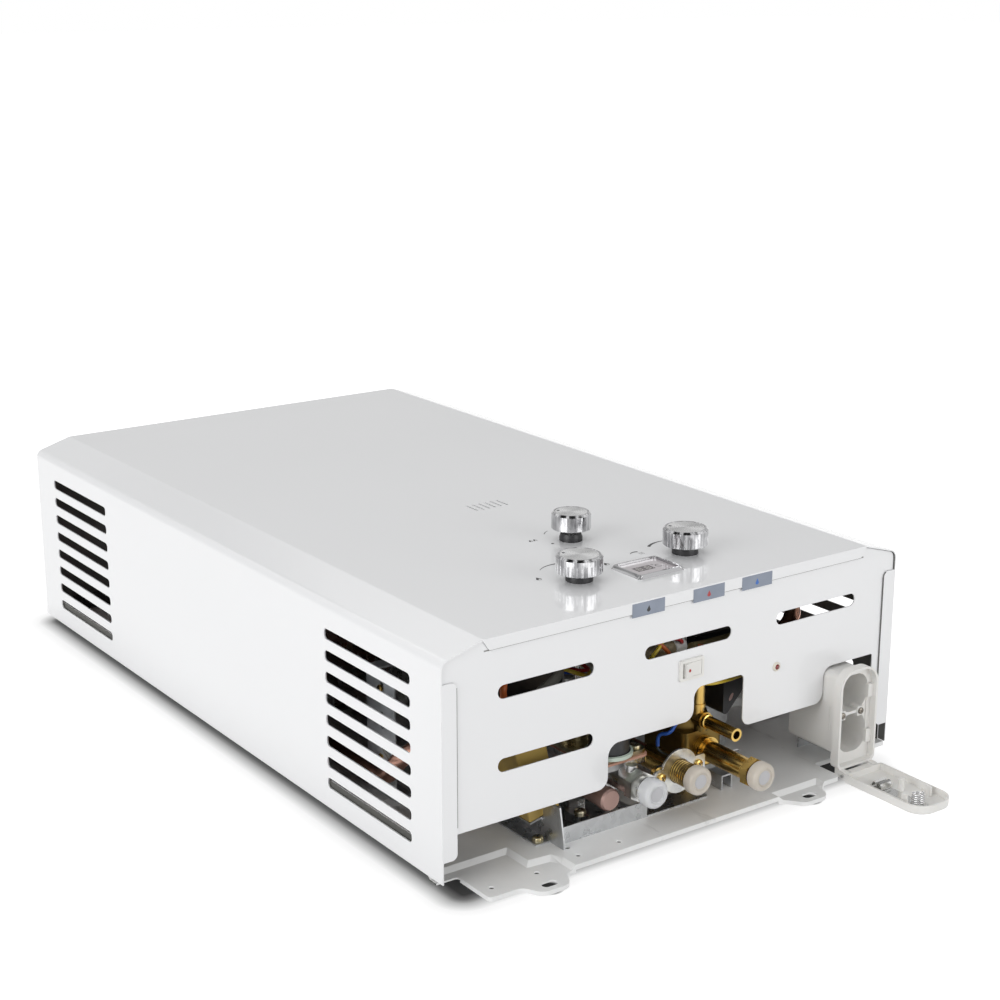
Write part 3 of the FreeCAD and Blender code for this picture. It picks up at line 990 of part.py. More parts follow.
def burner():
    x, (d0, d1), (z0, z1) = BURN_X, BURN_D, BURN_Z
    y0, y1 = n(d0), n(d1)
    tray = box((-x, x), (y0, y1), (z0, z1)).cut(box((-x + SHEET, x - SHEET), (y0 - 1, y1 + 1), (z0 + SHEET, z1 - SHEET)))
    face = box((-x, x), (y0, y0 + SHEET), (z0, z1))
    pitch = (2 * x - 16) / BARS
    xs = [-x + 8 + pitch * (i + 0.5) for i in range(BARS)]
    holes = [cyl((xx, y0 - 1, z0 + 30), (0, 1, 0), 7.5, 4) for xx in xs]
    feet = [box((sx, sx + 26), (y1 - 30, y1 - 6), (FLOOR_Z, z0 + 0.5)) for sx in (-x + 6, x - 32)]
    feet = [f.cut(box((f.BoundBox.XMin + SHEET, f.BoundBox.XMax - SHEET), (f.BoundBox.YMin - 1, f.BoundBox.YMax + 1),
                      (FLOOR_Z + SHEET, z0))) for f in feet]
    save("burner_tray", cut(fuse([tray, face] + feet), holes))
    bars = []
    for xx in xs:
        zz0, zz1 = z0 + SHEET + TOUCH, z1 - SHEET - TOUCH
        t = BAR_WALL
        bar = slab([(y0 + 8, zz0), (y0 + 8, z0 + 52), (y0 + 60, zz1), (y1 - 6, zz1), (y1 - 6, zz0)],
                   plane_yz(xx - BAR_T / 2), (BAR_T, 0, 0), 3)
        room = slab([(y0 + 8 + t, zz0 + t), (y0 + 8 + t, z0 + 52 - t / 2), (y0 + 60 + t / 2, zz1 - t),
                     (y1 - 6 - t, zz1 - t), (y1 - 6 - t, zz0 + t)], plane_yz(xx - BAR_T / 2 + t),
                    (BAR_T - 2 * t, 0, 0), 3 - t)
        throat = cyl((xx, y0 + 9, z0 + 30), (0, -1, 0), 7.0, 6.5)
        slots = [box((xx - 4, xx + 4), (y1 - 9, y1 - 5), (z, z + 3)) for z in range(int(zz0) + 8, int(zz1) - 8, 12)]
        bars.append(cut(bar.fuse(throat), slots + [room, cyl((xx, y0 + 10, z0 + 30), (0, -1, 0), 4.2, 12)]))
    save("burner_bars", Part.makeCompound(bars))
    # manifold with jets, and the season valve on it
    kx, kd, neck = KNOBS[2][1], KNOBS[2][2], KNOBS[2][5]
    mz = z0 + 30
    my0, my1 = n(158.0), n(174.0)
    rail = slab([(my0, mz - 8), (my1, mz - 8), (my1, mz + 8), (my0, mz + 8)], plane_yz(-x + 2), (2 * x - 4, 0, 0), 4)
    block = slab(rect(kx, (n(kd) + my0) / 2 + 1, 30, my0 - n(kd) + 26), plane_xy(mz - 9), (0, 0, 18), 5)
    tower = revolve([(0, 0), (10, 0), (10, 8), (7.5, 11), (7.5, neck - mz - 8), (0, neck - mz - 8)],
                    (kx, n(kd), mz + 8), (0, 0, 1))
    body = fuse([rail, block, tower]).cut(cyl((kx, n(kd), neck - SPINDLE_IN - 2), (0, 0, 1), SPINDLE_R + RUN, SPINDLE_IN + 3))
    jets = [revolve([(0, -1), (3.2, -1), (3.2, 3), (2.4, 3), (1.6, 9), (0, 9)], (xx, my1, mz), (0, 1, 0))
            for xx in xs]
    save("gas_manifold", fuse([body] + jets))
    # gas pipe from the valve block to the season valve
    gx = GAS_X - 1.3
    gy = n(GAS_BLOCK[1][1])
    low, high = LINK_Z
    save("gas_link_pipe", tube([(gx, gy, low), (gx, n(LINK_D), low), (kx - 48, n(kd), high), (kx - 15, n(kd), high)],
                               5.0, 12))
    # side bracket between the burner tray and the pan, beside the hot pipe
    sb = -(PIPE_SIDE - PIPE_R - 7.65)
    b0, b1 = n(BRACKET_D[0]), n(BRACKET_D[1])
    top, end = BRACKET_TOP, -x - TOUCH
    web = box((sb, sb + PLATE), (b0, b1), (FLOOR_Z, top)).cut(Part.makeCompound(
        [slab(stadium((b0 + b1) / 2 - 2, z, 5, 13)[0:4], plane_yz(sb - 1), (4, 0, 0)) for z in (84, 62)]))
    foot = box((sb, sb + 16), (b0, b1), (FLOOR_Z, FLOOR_Z + PLATE))
    arm = box((sb, end), (b1 - BRACKET_ARM, b1), (top - PLATE, top))
    rib = box((sb + 0.6, sb + 9), (b1 - PLATE, b1), (FLOOR_Z, top))
    reach = box((end - BRACKET_ARM, end), (b1 - BRACKET_ARM, n(d0 + 16)), (top - PLATE, top))
    tab = box((end - PLATE, end), (n(d0 + 2), n(d0 + 16)), (top - BRACKET_TAB, top))
    save("side_bracket", fuse([web, foot, arm, rib, reach, tab]))
    # ignition and flame electrodes over the bars
    ey = y1 + 5
    rods = []
    for xx in (-24.0, 0.0, 24.0):
        rods.append(revolve([(0, 0), (3.2, 0), (3.2, 14), (2.2, 22), (0, 22)], (xx, ey, z1 - 10), (0, 0, 1)))
        rods.append(cyl((xx, ey, z1 - 26), (0, 0, 1), 0.9, 17))
    strip = slab(rect(0, y1 + 0.5, 66, 23), plane_xy(z1), (0, 0, 1.0), 3)
    save("electrodes", fuse([strip] + rods))


def exchanger():
    x, (z0, z1) = BURN_X, BURN_Z
    y0, y1 = n(CHAMBER_D[0]) + TOUCH, n(CHAMBER_D[1])
    wall = 0.8
    shell = box((-x, x), (y0, y1), (z0, z1)).cut(box((-x + wall, x - wall), (y0 - 1, y1 + 1), (z0 + wall, z1 - wall)))
    beads = [box((-x - 1.5, x + 1.5), (y, y + 5), (z0 - 1.5, z1 + 1.5)).cut(
        box((-x + wall / 2, x - wall / 2), (y - 1, y + 6), (z0 + wall / 2, z1 - wall / 2)))
        for y in (y0 + 30, (y0 + y1) / 2, y1 - 30)]
    slots = [slab(stadium(xx, y0 + 5 - TOUCH, 9, 9), plane_xy(z1 - 3), (0, 0, 6)) for xx in (-24.0, 0.0, 24.0)]
    feet = [box((sx, sx + 22), (y1 - 60, y1 - 40), (FLOOR_Z, z0 + 0.4)) for sx in (-x + 8, x - 30)]
    feet = [f.cut(box((f.BoundBox.XMin + 1, f.BoundBox.XMax - 1), (f.BoundBox.YMin - 1, f.BoundBox.YMax + 1),
                      (FLOOR_Z + 1, z0))) for f in feet]
    save("combustion_chamber", cut(fuse([shell] + beads + feet), slots))
    # core: finned copper block with its cross tubes, which stand out on both sides
    c0, c1 = n(CORE_D[0]) + TOUCH, n(CORE_D[1])
    frame = box((-x, x), (c0, c1), (z0, z1)).cut(box((-x + 1, x - 1), (c0 - 1, c1 + 1), (z0 + 1, z1 - 1)))
    fins = [box((xx, xx + 1.0), (c0 + 8, c1 - 8), (z0 + 0.5, z1 - 0.5)) for xx in
            [-x + 14 + i * (2 * x - 28) / 13 for i in range(14)]]
    tz = [z0 + 16 + i * (z1 - z0 - 32) / 2 for i in range(3)]
    tubes = [cyl((-x - 10, (c0 + c1) / 2, z), (1, 0, 0), 9, 2 * x + 20) for z in tz]
    bores = [cyl((-x - 8, (c0 + c1) / 2, z), (1, 0, 0), 8, 2 * x + 16) for z in tz]
    bores += [cyl((-x - 11, (c0 + c1) / 2, z), (1, 0, 0), 5.6, 2 * x + 22) for z in tz]
    save("heat_exchanger", cut(fuse([frame] + fins + tubes), bores))
    # hood from the core to the flue opening
    h0, h1 = c1 + TOUCH, FLUE_Y[0] - TOUCH
    w, h = FLUE_OPEN[0] + 8, FLUE_OPEN[1] + 8
    a = outline(rect(0, (z0 + z1) / 2, 2 * x, z1 - z0), plane_xz(h0))
    b = outline(rect(0, FLUE_Z, w, h), plane_xz(h1))
    ai = outline(rect(0, (z0 + z1) / 2, 2 * x - 2, z1 - z0 - 2), plane_xz(h0 - 0.01))
    bi = outline(rect(0, FLUE_Z, w - 2, h - 2), plane_xz(h1 + 0.01))
    save("flue_hood", Part.makeLoft([a, b], True, True).cut(Part.makeLoft([ai, bi], True, True)))
    # pipes
    hot_y = (c0 + c1) / 2
    side = PIPE_SIDE
    hd, hz = HOT_CROSS
    save("hot_pipe", tube([(-x - 10 - TOUCH, hot_y, tz[0]), (-side, hot_y, tz[0]), (-side, n(HOT_FOOT[0]), HOT_FOOT[1]),
                           (-side, n(hd), hz), (-30, n(hd), hz + 0.5), (OUT_X, n(hd), hz), (OUT_X, n(50), PORT_Z),
                           (OUT_X, n(OUT_END) + TOUCH, PORT_Z)], PIPE_R, 20))
    vx, cd = 28.0, COLD_CROSS[0]
    out = side + 2
    save("cold_pipe", tube([(vx, n(VALVE_D[1]) + TOUCH, COLD_CROSS[1]), (vx, n(cd), COLD_CROSS[1]),
                            (COLD_KNEE[0], n(cd), COLD_KNEE[1]), (out, n(COLD_TOP[0]), COLD_TOP[1]),
                            (out, n(COLD_FALL[0]), COLD_FALL[1]), (out, n(COLD_DEEP), tz[0]),
                            (out, hot_y, tz[0]), (x + 10 + TOUCH, hot_y, tz[0])], PIPE_R, 20))


# way points of the wires: x, distance from the near end, z
RED_WAY = [(-20, 60, 120), (-50, 76, 120), (-60, 86, 118)]
YELLOW_WAY = [(24, 32, 96), (44, 20, 95), (62, 14, 97), (75, 18, 92), (75, 23, 88)]
BLUE_WAY = [(3, 40, 92), (5, 18, 84), (3, 10, 68), (-4, 11, 58), (-8, 19, 56)]
WHITE_WAY = [(-53, 17, 90), (-36, 50, 100)]


def wires():
    sx, sz = SWITCH_AT
    y = PANEL_Y[0] + SWITCH_DEPTH + 7 + TOUCH
    module_y = n(MODULE_AT[0]) - TOUCH
    red, yellow, blue, white = [[(x, n(d), z) for x, d, z in way] for way in (RED_WAY, YELLOW_WAY, BLUE_WAY, WHITE_WAY)]
    save("wire_red", tube([(sx - 5, y, sz), (sx - 5, n(38), sz)] + red + [(red[-1][0], module_y, red[-1][2])], 1.3, 12))
    save("wire_yellow", tube([(sx + 5, y, sz), (sx + 5, y + 8, sz)] + yellow
                             + [(yellow[-1][0], n(IGNITER_D[0]) - TOUCH, yellow[-1][2])], 1.3, 8))
    save("wire_blue", tube(blue + [(blue[-1][0], blue[-1][1], 47.2)], 1.3, 8))
    save("wire_white", tube([(GAS_COIL_AT[0], n(GAS_COIL_AT[1]), GASKET_Z[1] + 3.0 + 17.5 + 2 * TOUCH)] + white
                            + [(white[-1][0], module_y, white[-1][2])], 2.2, 12))


for build in (front_cover, end_panel, flue_end, back_plate, controls, display, switch, lamp, battery,
              ports_gas, ports_water, electronics, burner, exchanger, wires):
    build()

os.makedirs("parts", exist_ok=True)
for name, shape in PARTS.items():
    if not shape.isValid():
        print("INVALID", name)
    shape.exportStep("parts/" + name + ".step")
print(len(PARTS), "parts")
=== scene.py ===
import json
import math

import bmesh
import bpy
from bpy.props import FloatProperty, FloatVectorProperty, IntProperty, PointerProperty
from mathutils import Matrix, Vector


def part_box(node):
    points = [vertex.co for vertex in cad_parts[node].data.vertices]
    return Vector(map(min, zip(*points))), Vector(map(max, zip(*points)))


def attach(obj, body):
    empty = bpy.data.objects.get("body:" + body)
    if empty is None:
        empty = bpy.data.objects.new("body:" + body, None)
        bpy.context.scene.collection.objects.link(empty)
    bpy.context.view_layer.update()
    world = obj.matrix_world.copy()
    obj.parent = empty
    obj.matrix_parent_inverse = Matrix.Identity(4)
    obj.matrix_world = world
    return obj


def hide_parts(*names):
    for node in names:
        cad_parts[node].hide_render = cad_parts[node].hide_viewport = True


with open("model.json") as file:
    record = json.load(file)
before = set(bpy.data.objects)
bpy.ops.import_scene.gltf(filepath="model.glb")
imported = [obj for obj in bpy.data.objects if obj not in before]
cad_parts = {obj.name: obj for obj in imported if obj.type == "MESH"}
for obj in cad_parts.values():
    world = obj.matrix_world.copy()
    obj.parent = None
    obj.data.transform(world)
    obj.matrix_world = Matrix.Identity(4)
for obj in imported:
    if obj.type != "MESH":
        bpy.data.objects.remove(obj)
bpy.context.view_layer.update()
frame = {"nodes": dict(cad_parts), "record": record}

bl_info = {
    "name": "Gas Water Heater",
    "version": (1, 0, 0),
    "blender": (4, 5, 0),
    "location": "3D View > Sidebar > Heater",
    "description": "Dresses a portable gas water heater lying on its back",
    "category": "Object",
}

NODES = frame["nodes"]
BODY_OF = {n: b for b, names in frame["record"]["behaviour"]["bodies"].items() for n in names}
MM = 0.001
# the heater in mm: it lies on its back, with its pipe ports towards -Y
DEPTH = 165.0  # the cover's flat face
HALF_WIDTH = 200.0
NEAR = -320.0  # outside of the cover's lip over the end panel
LIP, LIP_HALF = 8.0, 167.0  # drop of that lip and half its length
SIDE_FLANGE = 11.5  # the cover's flanges beside the end panel
PORT_Z = 38.3  # axis of the pipe ports
UP, OUT, FAR = (0, 0, 1), (0, -1, 0), (0, 1, 0)  # off the cover, out of the ports, to the flue end
GAS_X, OUT_X, IN_X = -47.7, -10.0, 29.3
THREAD_ROOT, THREAD_CREST = 7.45, 8.57
BOX_MID = 147.8  # middle of the battery box
EARS = ((-139.2, -352.0, 0.0), (90.4, -352.0, 0.0))
KNOB_EDGE = 1.6  # bevel round a knob's face
KNOBS = {"gas": (-47.4, NEAR + 59.0, 16.25), "water": (52.0, NEAR + 64.5, 16.25),
         "season": (4.5, NEAR + 136.0, 14.5)}


def mm(x, y, z):
    return Vector((x, y, z)) * MM


def in_mm(corners):
    return [corner / MM for corner in corners]


# -------- settings
def colour(name, what, default):
    return FloatVectorProperty(name=name, description="Colour of the " + what, subtype="COLOR", size=3,
                               min=0, max=1, default=default)


def power(name, which, default):
    return FloatProperty(name=name, description="Power of the %s softbox" % which, subtype="POWER",
                         min=0, max=500, default=default)


class HeaterFinish(bpy.types.PropertyGroup):
    coat: colour("Powder coat", "housing", (0.86, 0.865, 0.875))
    pan: colour("Back plate", "painted back plate", (0.86, 0.865, 0.86))
    box: colour("Battery box", "battery box moulding", (0.81, 0.80, 0.775))
    brass: colour("Brass", "brass water parts", (0.62, 0.42, 0.13))
    ink: colour("Ink", "printed marks", (0.03, 0.03, 0.03))
    label: colour("Labels", "foil port labels", (0.24, 0.27, 0.33))


class HeaterSizes(bpy.types.PropertyGroup):
    pitch: FloatProperty(name="Thread pitch", description="Pitch of the pipe threads", subtype="DISTANCE",
                         min=0.0008, max=0.003, default=0.0022)
    label_w: FloatProperty(name="Label width", description="Width of a port label", subtype="DISTANCE",
                           min=0.01, max=0.05, default=0.028)
    turns: IntProperty(name="Spring turns", description="Turns of the battery spring", min=2, max=12,
                       default=5)
    steps: IntProperty(name="Turning steps", description="Steps round each turned piece", min=24, max=128,
                       default=64)


class HeaterStage(bpy.types.PropertyGroup):
    lens: FloatProperty(name="Lens", description="Focal length on a 36 mm sensor", min=20, max=200,
                        default=67.84)
    key: power("Key", "side", 29)
    front: power("Front", "front", 19)
    top: power("Top", "top", 15)
    sky: FloatProperty(name="Sky", description="Strength of the even light", min=0, max=2, default=0.42)
    shine: FloatProperty(name="Shine", description="Brightness of the room in polished metal", min=0, max=2,
                         default=0.62)


def setting(group, name):
    return getattr(getattr(bpy.context.scene, group), name)


# -------- materials
FINISHES = {}


class Nodes:
    """A small chain builder for one material."""

    def __init__(self, name):
        self.mat = bpy.data.materials.new(name)
        self.mat.use_nodes = True
        self.tree = self.mat.node_tree
        self.shader = self.tree.nodes["Principled BSDF"]
        self.coord = self.add("ShaderNodeTexCoord").outputs["Object"]

    def add(self, kind, inputs=None, **attrs):
        node = self.tree.nodes.new(kind)
        for key, value in attrs.items():
            setattr(node, key, value)
        self.feed(node, inputs or {})
        return node

    def feed(self, node, inputs):
        """Links a socket to an input, or sets the input to a plain value."""
        for key, value in inputs.items():
            if isinstance(value, bpy.types.NodeSocket):
                self.tree.links.new(value, node.inputs[key])
            else:
                node.inputs[key].default_value = value

    def put(self, **inputs):
        """Feeds the shader: Base_Color stands for its input Base Color."""
        self.feed(self.shader, {key.replace("_", " "): value for key, value in inputs.items()})

    def noise(self, scale, detail=3.0, rough=0.5, stretch=None):
        vec = self.coord
        if stretch:
            vec = self.add("ShaderNodeMapping", {"Vector": vec, "Scale": stretch}).outputs[0]
        return self.add("ShaderNodeTexNoise", {"Vector": vec, "Scale": scale, "Detail": detail,
                                               "Roughness": rough}).outputs["Fac"]

    def ramp(self, fac, low, high, start=0.3, end=0.7):
        """Maps start...end of a value to low...high, held at both ends."""
        return self.add("ShaderNodeMapRange", {"Value": fac, "From Min": start, "From Max": end,
                                               "To Min": low, "To Max": high}).outputs[0]

    def calc(self, operation, a, b):
        return self.add("ShaderNodeMath", {0: a, 1: b}, operation=operation).outputs[0]

    def vector(self, operation, a, b=(0.0, 0.0, 0.0)):
        """Vector arithmetic: the result is a value for a length, a distance and a dot product."""
        out = "Value" if operation in ("LENGTH", "DISTANCE", "DOT_PRODUCT") else "Vector"
        return self.add("ShaderNodeVectorMath", {0: a, 1: b}, operation=operation).outputs[out]

    def mix(self, fac, a, b):
        a, b = (v if isinstance(v, bpy.types.NodeSocket) else (*v[:3], 1.0) for v in (a, b))
        return self.add("ShaderNodeMix", {0: fac, 6: a, 7: b}, data_type="RGBA").outputs[2]

    def bump(self, height, strength, distance):
        return self.add("ShaderNodeBump", {"Height": height, "Strength": strength,
                                           "Distance": distance}).outputs[0]


class Studio(Nodes):
    """The room: white to look at, even as a light, with dark gaps overhead for polished metal."""

    def __init__(self, world):
        self.tree = world.node_tree
        self.back = self.tree.nodes["Background"]
        self.coord = self.add("ShaderNodeTexCoord").outputs["Object"]

    def blend(self, fac, a, b):
        return self.add("ShaderNodeMix", {0: fac, 2: a, 3: b}, data_type="FLOAT").outputs[0]

    def light(self, sky, shine):
        height = self.add("ShaderNodeSeparateXYZ", {"Vector": self.coord}).outputs["Z"]
        gaps = self.ramp(self.noise(2.3, 0.0, stretch=(1.0, 1.0, 0.5)), 0.03, 1.5 * shine, 0.45, 0.52)
        # the gaps begin higher up on the far side, so the flat cover mirrors an even room
        lift = self.ramp(self.vector("DOT_PRODUCT", self.coord, (0.58, 0.815, 0.0)), 0.0, 0.30, -0.1, 0.5)
        high = self.ramp(self.calc("SUBTRACT", height, lift), 0.0, 1.0, 0.10, 0.28)
        room = self.blend(high, shine, gaps)
        path = self.add("ShaderNodeLightPath").outputs
        polished = self.blend(path["Is Glossy Ray"], sky, room)
        plain = self.calc("MAXIMUM", path["Is Camera Ray"], path["Is Transmission Ray"])
        self.tree.links.new(self.blend(plain, polished, 1.0), self.back.inputs["Strength"])
        self.back.inputs["Color"].default_value = (1, 1, 1, 1)


def shade(c, k):
    """A colour made lighter or darker."""
    return tuple(min(1.0, v * k) for v in c)


def finish(name, color, metallic=0.0, rough=0.4, spread=0.06, mottle=0.05, mottle_scale=30.0, grain=600.0,
           depth=0.00003, strength=0.3, stretch=None, tint=None, **fixed):
    """General finish: mottled colour, uneven gloss and a fine surface grain."""
    if name in FINISHES:
        return FINISHES[name]
    n = Nodes(name)
    soft = n.noise(mottle_scale, 4.0)
    fine = n.noise(grain, 3.0, stretch=stretch)
    n.put(Base_Color=n.mix(n.ramp(soft, 0.0, 1.0), shade(color, 1 - mottle),
                           tint or shade(color, 1 + mottle)),
          Roughness=n.ramp(soft, rough - spread, rough + spread),
          Normal=n.bump(fine, strength, depth),
          Metallic=metallic, **fixed)
    FINISHES[name] = n.mat
    return n.mat


def once(name):
    """Builds the material of that name on the first call and hands out the same one afterwards."""
    def wrap(build):
        def get():
            if name not in FINISHES:
                n = Nodes(name)
                build(n)
                FINISHES[name] = n.mat
            return FINISHES[name]
        return get
    return wrap


@once("powder coat")
def powder_coat(n):
    """Smooth coat with a faint orange peel and a few specks."""
    c = setting("heater_finish", "coat")
    peel = n.noise(420.0, 2.0)
    specks = n.ramp(n.noise(90.0, 1.0), 1.0, 0.97, 0.74, 0.78)
    base = n.mix(n.ramp(n.noise(3.0, 2.0), 0.0, 1.0), shade(c, 0.985), shade(c, 1.01))
    n.put(Base_Color=n.mix(specks, shade(c, 0.93), base), Roughness=n.ramp(peel, 0.30, 0.38),
          Normal=n.bump(peel, 0.12, 0.00002),
          Coat_Weight=0.8, Coat_Roughness=0.035, IOR=1.5)


@once("pan paint")
def pan_paint(n):
    """Thin paint on the back plate, clouded and scuffed."""
    c = setting("heater_finish", "pan")
    cloud = n.noise(12.0, 5.0, 0.6)
    scuffs = n.ramp(n.noise(60.0, 6.0, 0.7, stretch=(1.0, 0.16, 1.0)), 0.0, 1.0, 0.60, 0.66)
    base = n.mix(n.ramp(cloud, 0.0, 1.0, 0.35, 0.7), shade(c, 0.9), shade(c, 1.03))
    n.put(Base_Color=n.mix(scuffs, base, shade(c, 0.82)), Roughness=n.ramp(cloud, 0.30, 0.48),
          Normal=n.bump(n.noise(380.0, 2.0), 0.15, 0.00003),
          Coat_Weight=0.3, Coat_Roughness=0.2)


@once("galvanised")
def galvanised(n):
    cells = n.add("ShaderNodeTexVoronoi", {"Vector": n.coord, "Scale": 260.0}).outputs["Color"]
    tone = n.add("ShaderNodeSeparateColor", {"Color": cells}).outputs[0]
    n.put(Base_Color=n.mix(tone, (0.50, 0.51, 0.52), (0.58, 0.59, 0.60)),
          Roughness=n.ramp(tone, 0.26, 0.36, 0, 1),
          Normal=n.bump(n.noise(300.0), 0.2, 0.00003),
          Metallic=0.92)


def spun(name, centre):
    """Metal faced on a lathe: rings round a centre, and a highlight drawn out by them."""
    n = Nodes(name)
    local = n.add("ShaderNodeMapping", {"Vector": n.coord, "Location": -centre}).outputs[0]
    flat = n.vector("MULTIPLY", local, (1.0, 1.0, 0.0))
    rings = n.add("ShaderNodeTexNoise", {"W": n.vector("LENGTH", flat), "Scale": 5200.0, "Detail": 2.0},
                  noise_dimensions="1D").outputs["Fac"]
    n.put(Base_Color=n.mix(n.ramp(rings, 0.0, 1.0), (0.651,) * 3, (0.735,) * 3),
          Roughness=n.ramp(rings, 0.24, 0.34), Normal=n.bump(rings, 0.14, 0.00003),
          Tangent=n.vector("CROSS_PRODUCT", flat, (0.0, 0.0, 1.0)),
          Metallic=1.0, Anisotropic=0.75)
    return n.mat


def plate_zinc():
    return finish("zinc plate", (0.44, 0.445, 0.45), metallic=1.0, rough=0.30, mottle=0.1,
                  mottle_scale=90.0, grain=700.0, tint=(0.66, 0.66, 0.62))


def brass(name="brass", k=1.0, rough=0.24):
    return finish(name, shade(setting("heater_finish", "brass"), k), metallic=1.0, rough=rough, spread=0.07,
                  mottle=0.16, mottle_scale=55.0, grain=900.0, strength=0.25)


def copper():
    return finish("copper", (0.60, 0.30, 0.20), metallic=1.0, rough=0.30, spread=0.09, mottle=0.2,
                  mottle_scale=26.0, grain=700.0, tint=(0.66, 0.38, 0.30))


def cast_alloy():
    return finish("cast alloy", (0.52, 0.52, 0.52), metallic=1.0, rough=0.30, spread=0.1, mottle=0.16,
                  mottle_scale=70.0, grain=420.0, depth=0.0002, strength=0.6)


def chrome():
    return finish("chrome", (0.80, 0.80, 0.81), metallic=1.0, rough=0.07, spread=0.02, mottle=0.02,
                  grain=250.0, depth=0.00001, strength=0.1)


@once("fluted chrome")
def fluted(n):
    """Plated knob metal with fine upright streaks in its sides; its base colour runs from dark to bright with
    the streaks and blotches as painted reflections.
    """
    streaks = n.noise(700.0, 2.0, 0.6, stretch=(1.0, 1.0, 0.04))
    dark_reflection_blotch = n.noise(120.0, 2.0, stretch=(1.0, 1.0, 0.5))
    # painted reflections: dark and bright streaks and blotches in the base colour
    tone = n.calc("ADD", n.ramp(streaks, 0.0, 0.6, 0.35, 0.65), n.ramp(dark_reflection_blotch, 0.0, 0.4, 0.4, 0.6))
    n.put(Base_Color=n.mix(tone, (0.24, 0.24, 0.25), (0.80, 0.80, 0.81)),
          Roughness=n.ramp(streaks, 0.07, 0.14), Normal=n.bump(streaks, 0.25, 0.00004),
          Metallic=1.0)


def steel():
    return finish("bright steel", (0.60, 0.60, 0.60), metallic=1.0, rough=0.26, spread=0.08, mottle=0.1,
                  mottle_scale=60.0, grain=500.0, stretch=(1.0, 0.1, 1.0))


def zinc():
    return finish("yellow zinc", (0.55, 0.46, 0.26), metallic=1.0, rough=0.30, spread=0.07, mottle=0.25,
                  mottle_scale=160.0, tint=(0.62, 0.58, 0.44))


def black():
    return finish("black moulding", (0.018, 0.018, 0.02), rough=0.42, spread=0.07, mottle=0.2, grain=1200.0,
                  depth=0.00006, strength=0.4)


def box_plastic():
    return finish("box plastic", setting("heater_finish", "box"), rough=0.42, mottle=0.025,
                  mottle_scale=14.0, grain=1100.0, depth=0.00004, strength=0.2, Subsurface_Weight=0.12,
                  Subsurface_Radius=(0.004, 0.0035, 0.003), Subsurface_Scale=0.5)


def cap_plastic(name, color):
    return finish(name, color, rough=0.33, mottle=0.04, mottle_scale=60.0, grain=500.0,
                  depth=0.00004, strength=0.2, Transmission_Weight=0.28, Subsurface_Weight=0.35,
                  Subsurface_Radius=(0.004, 0.004, 0.0035), Subsurface_Scale=0.6, IOR=1.45)


def ink(name="ink", color=None):
    return finish(name, color or setting("heater_finish", "ink"), rough=0.5, mottle=0.1,
                  grain=2000.0, depth=0.00001)


# -------- modelling helpers
def settle(bm, angle=32.0):
    """Smooth shading broken at the sharp edges."""
    for face in bm.faces:
        face.smooth = True
    for edge in bm.edges:
        edge.smooth = edge.is_manifold and edge.calc_face_angle(0.0) < math.radians(angle)


def add_object(name, data):
    obj = bpy.data.objects.new(name, data)
    bpy.context.scene.collection.objects.link(obj)
    return obj


def piece(name, bm, material, body="heater", angle=32.0, normals=True):
    """Makes an object of a finished mesh and lets it ride on a body."""
    if normals:
        bmesh.ops.remove_doubles(bm, verts=bm.verts, dist=1e-7)
        bmesh.ops.recalc_face_normals(bm, faces=bm.faces)
    settle(bm, angle)
    mesh = bpy.data.meshes.new(name)
    bm.to_mesh(mesh)
    bm.free()
    obj = add_object(name, mesh)
    for m in material if isinstance(material, list) else [material]:
        mesh.materials.append(m)
    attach(obj, body)
    return obj


def ease(bm, edges, offset, segments):
    """Bevels edges by an offset in mm and returns the new faces."""
    return bmesh.ops.bevel(bm, geom=edges, offset=offset * MM, offset_type="OFFSET", segments=segments,
                           profile=0.5, affect="EDGES", clamp_overlap=True, material=-1)["faces"]


def skin(node, material, angle=32.0, bevel=0.0, segments=2, limit=40.0, reshape=None, zone=None):
    """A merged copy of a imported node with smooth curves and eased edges, standing for it.

    limit is the angle above which an edge is eased, reshape changes the mesh first, and zone gives the
    material number of a face from its middle in mm and its normal."""
    bm = bmesh.new()
    bm.from_mesh(NODES[node].data)
    bmesh.ops.remove_doubles(bm, verts=bm.verts, dist=2e-6)
    if reshape:
        reshape(bm)
    if bevel:
        bmesh.ops.dissolve_limit(bm, angle_limit=math.radians(0.6), verts=bm.verts, edges=bm.edges)
        hard = [e for e in bm.edges if e.is_manifold and e.calc_face_angle(0.0) > math.radians(limit)]
        ease(bm, hard, bevel, segments)
    if zone:
        for face in bm.faces:
            face.material_index = zone(face.calc_center_median() / MM, face.normal)
    obj = piece(node + "_skin", bm, material, BODY_OF[node], angle, normals=False)
    if bevel or reshape:
        weigh = obj.modifiers.new("flat faces stay flat", "WEIGHTED_NORMAL")
        weigh.keep_sharp = True
        weigh.weight = 100
    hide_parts(node)
    return obj


def dress(material, angle, *nodes):
    """One plain skin for several nodes."""
    for node in nodes:
        skin(node, material, angle=angle)


def paint(material, *nodes):
    """A material for nodes that keep their own mesh."""
    for node in nodes:
        mesh = NODES[node].data
        mesh.materials.clear()
        mesh.materials.append(material)


def place_at(at, axis):
    """Turns +Z to an axis and moves the origin to a point in mm."""
    return Matrix.Translation(mm(*at)) @ Vector(axis).to_track_quat("Z", "Y").to_matrix().to_4x4()


def outline(bm, points):
    """Adds an open line through points in mm and returns its vertices and edges."""
    verts = [bm.verts.new(mm(*point)) for point in points]
    return verts, [bm.edges.new(pair) for pair in zip(verts, verts[1:])]


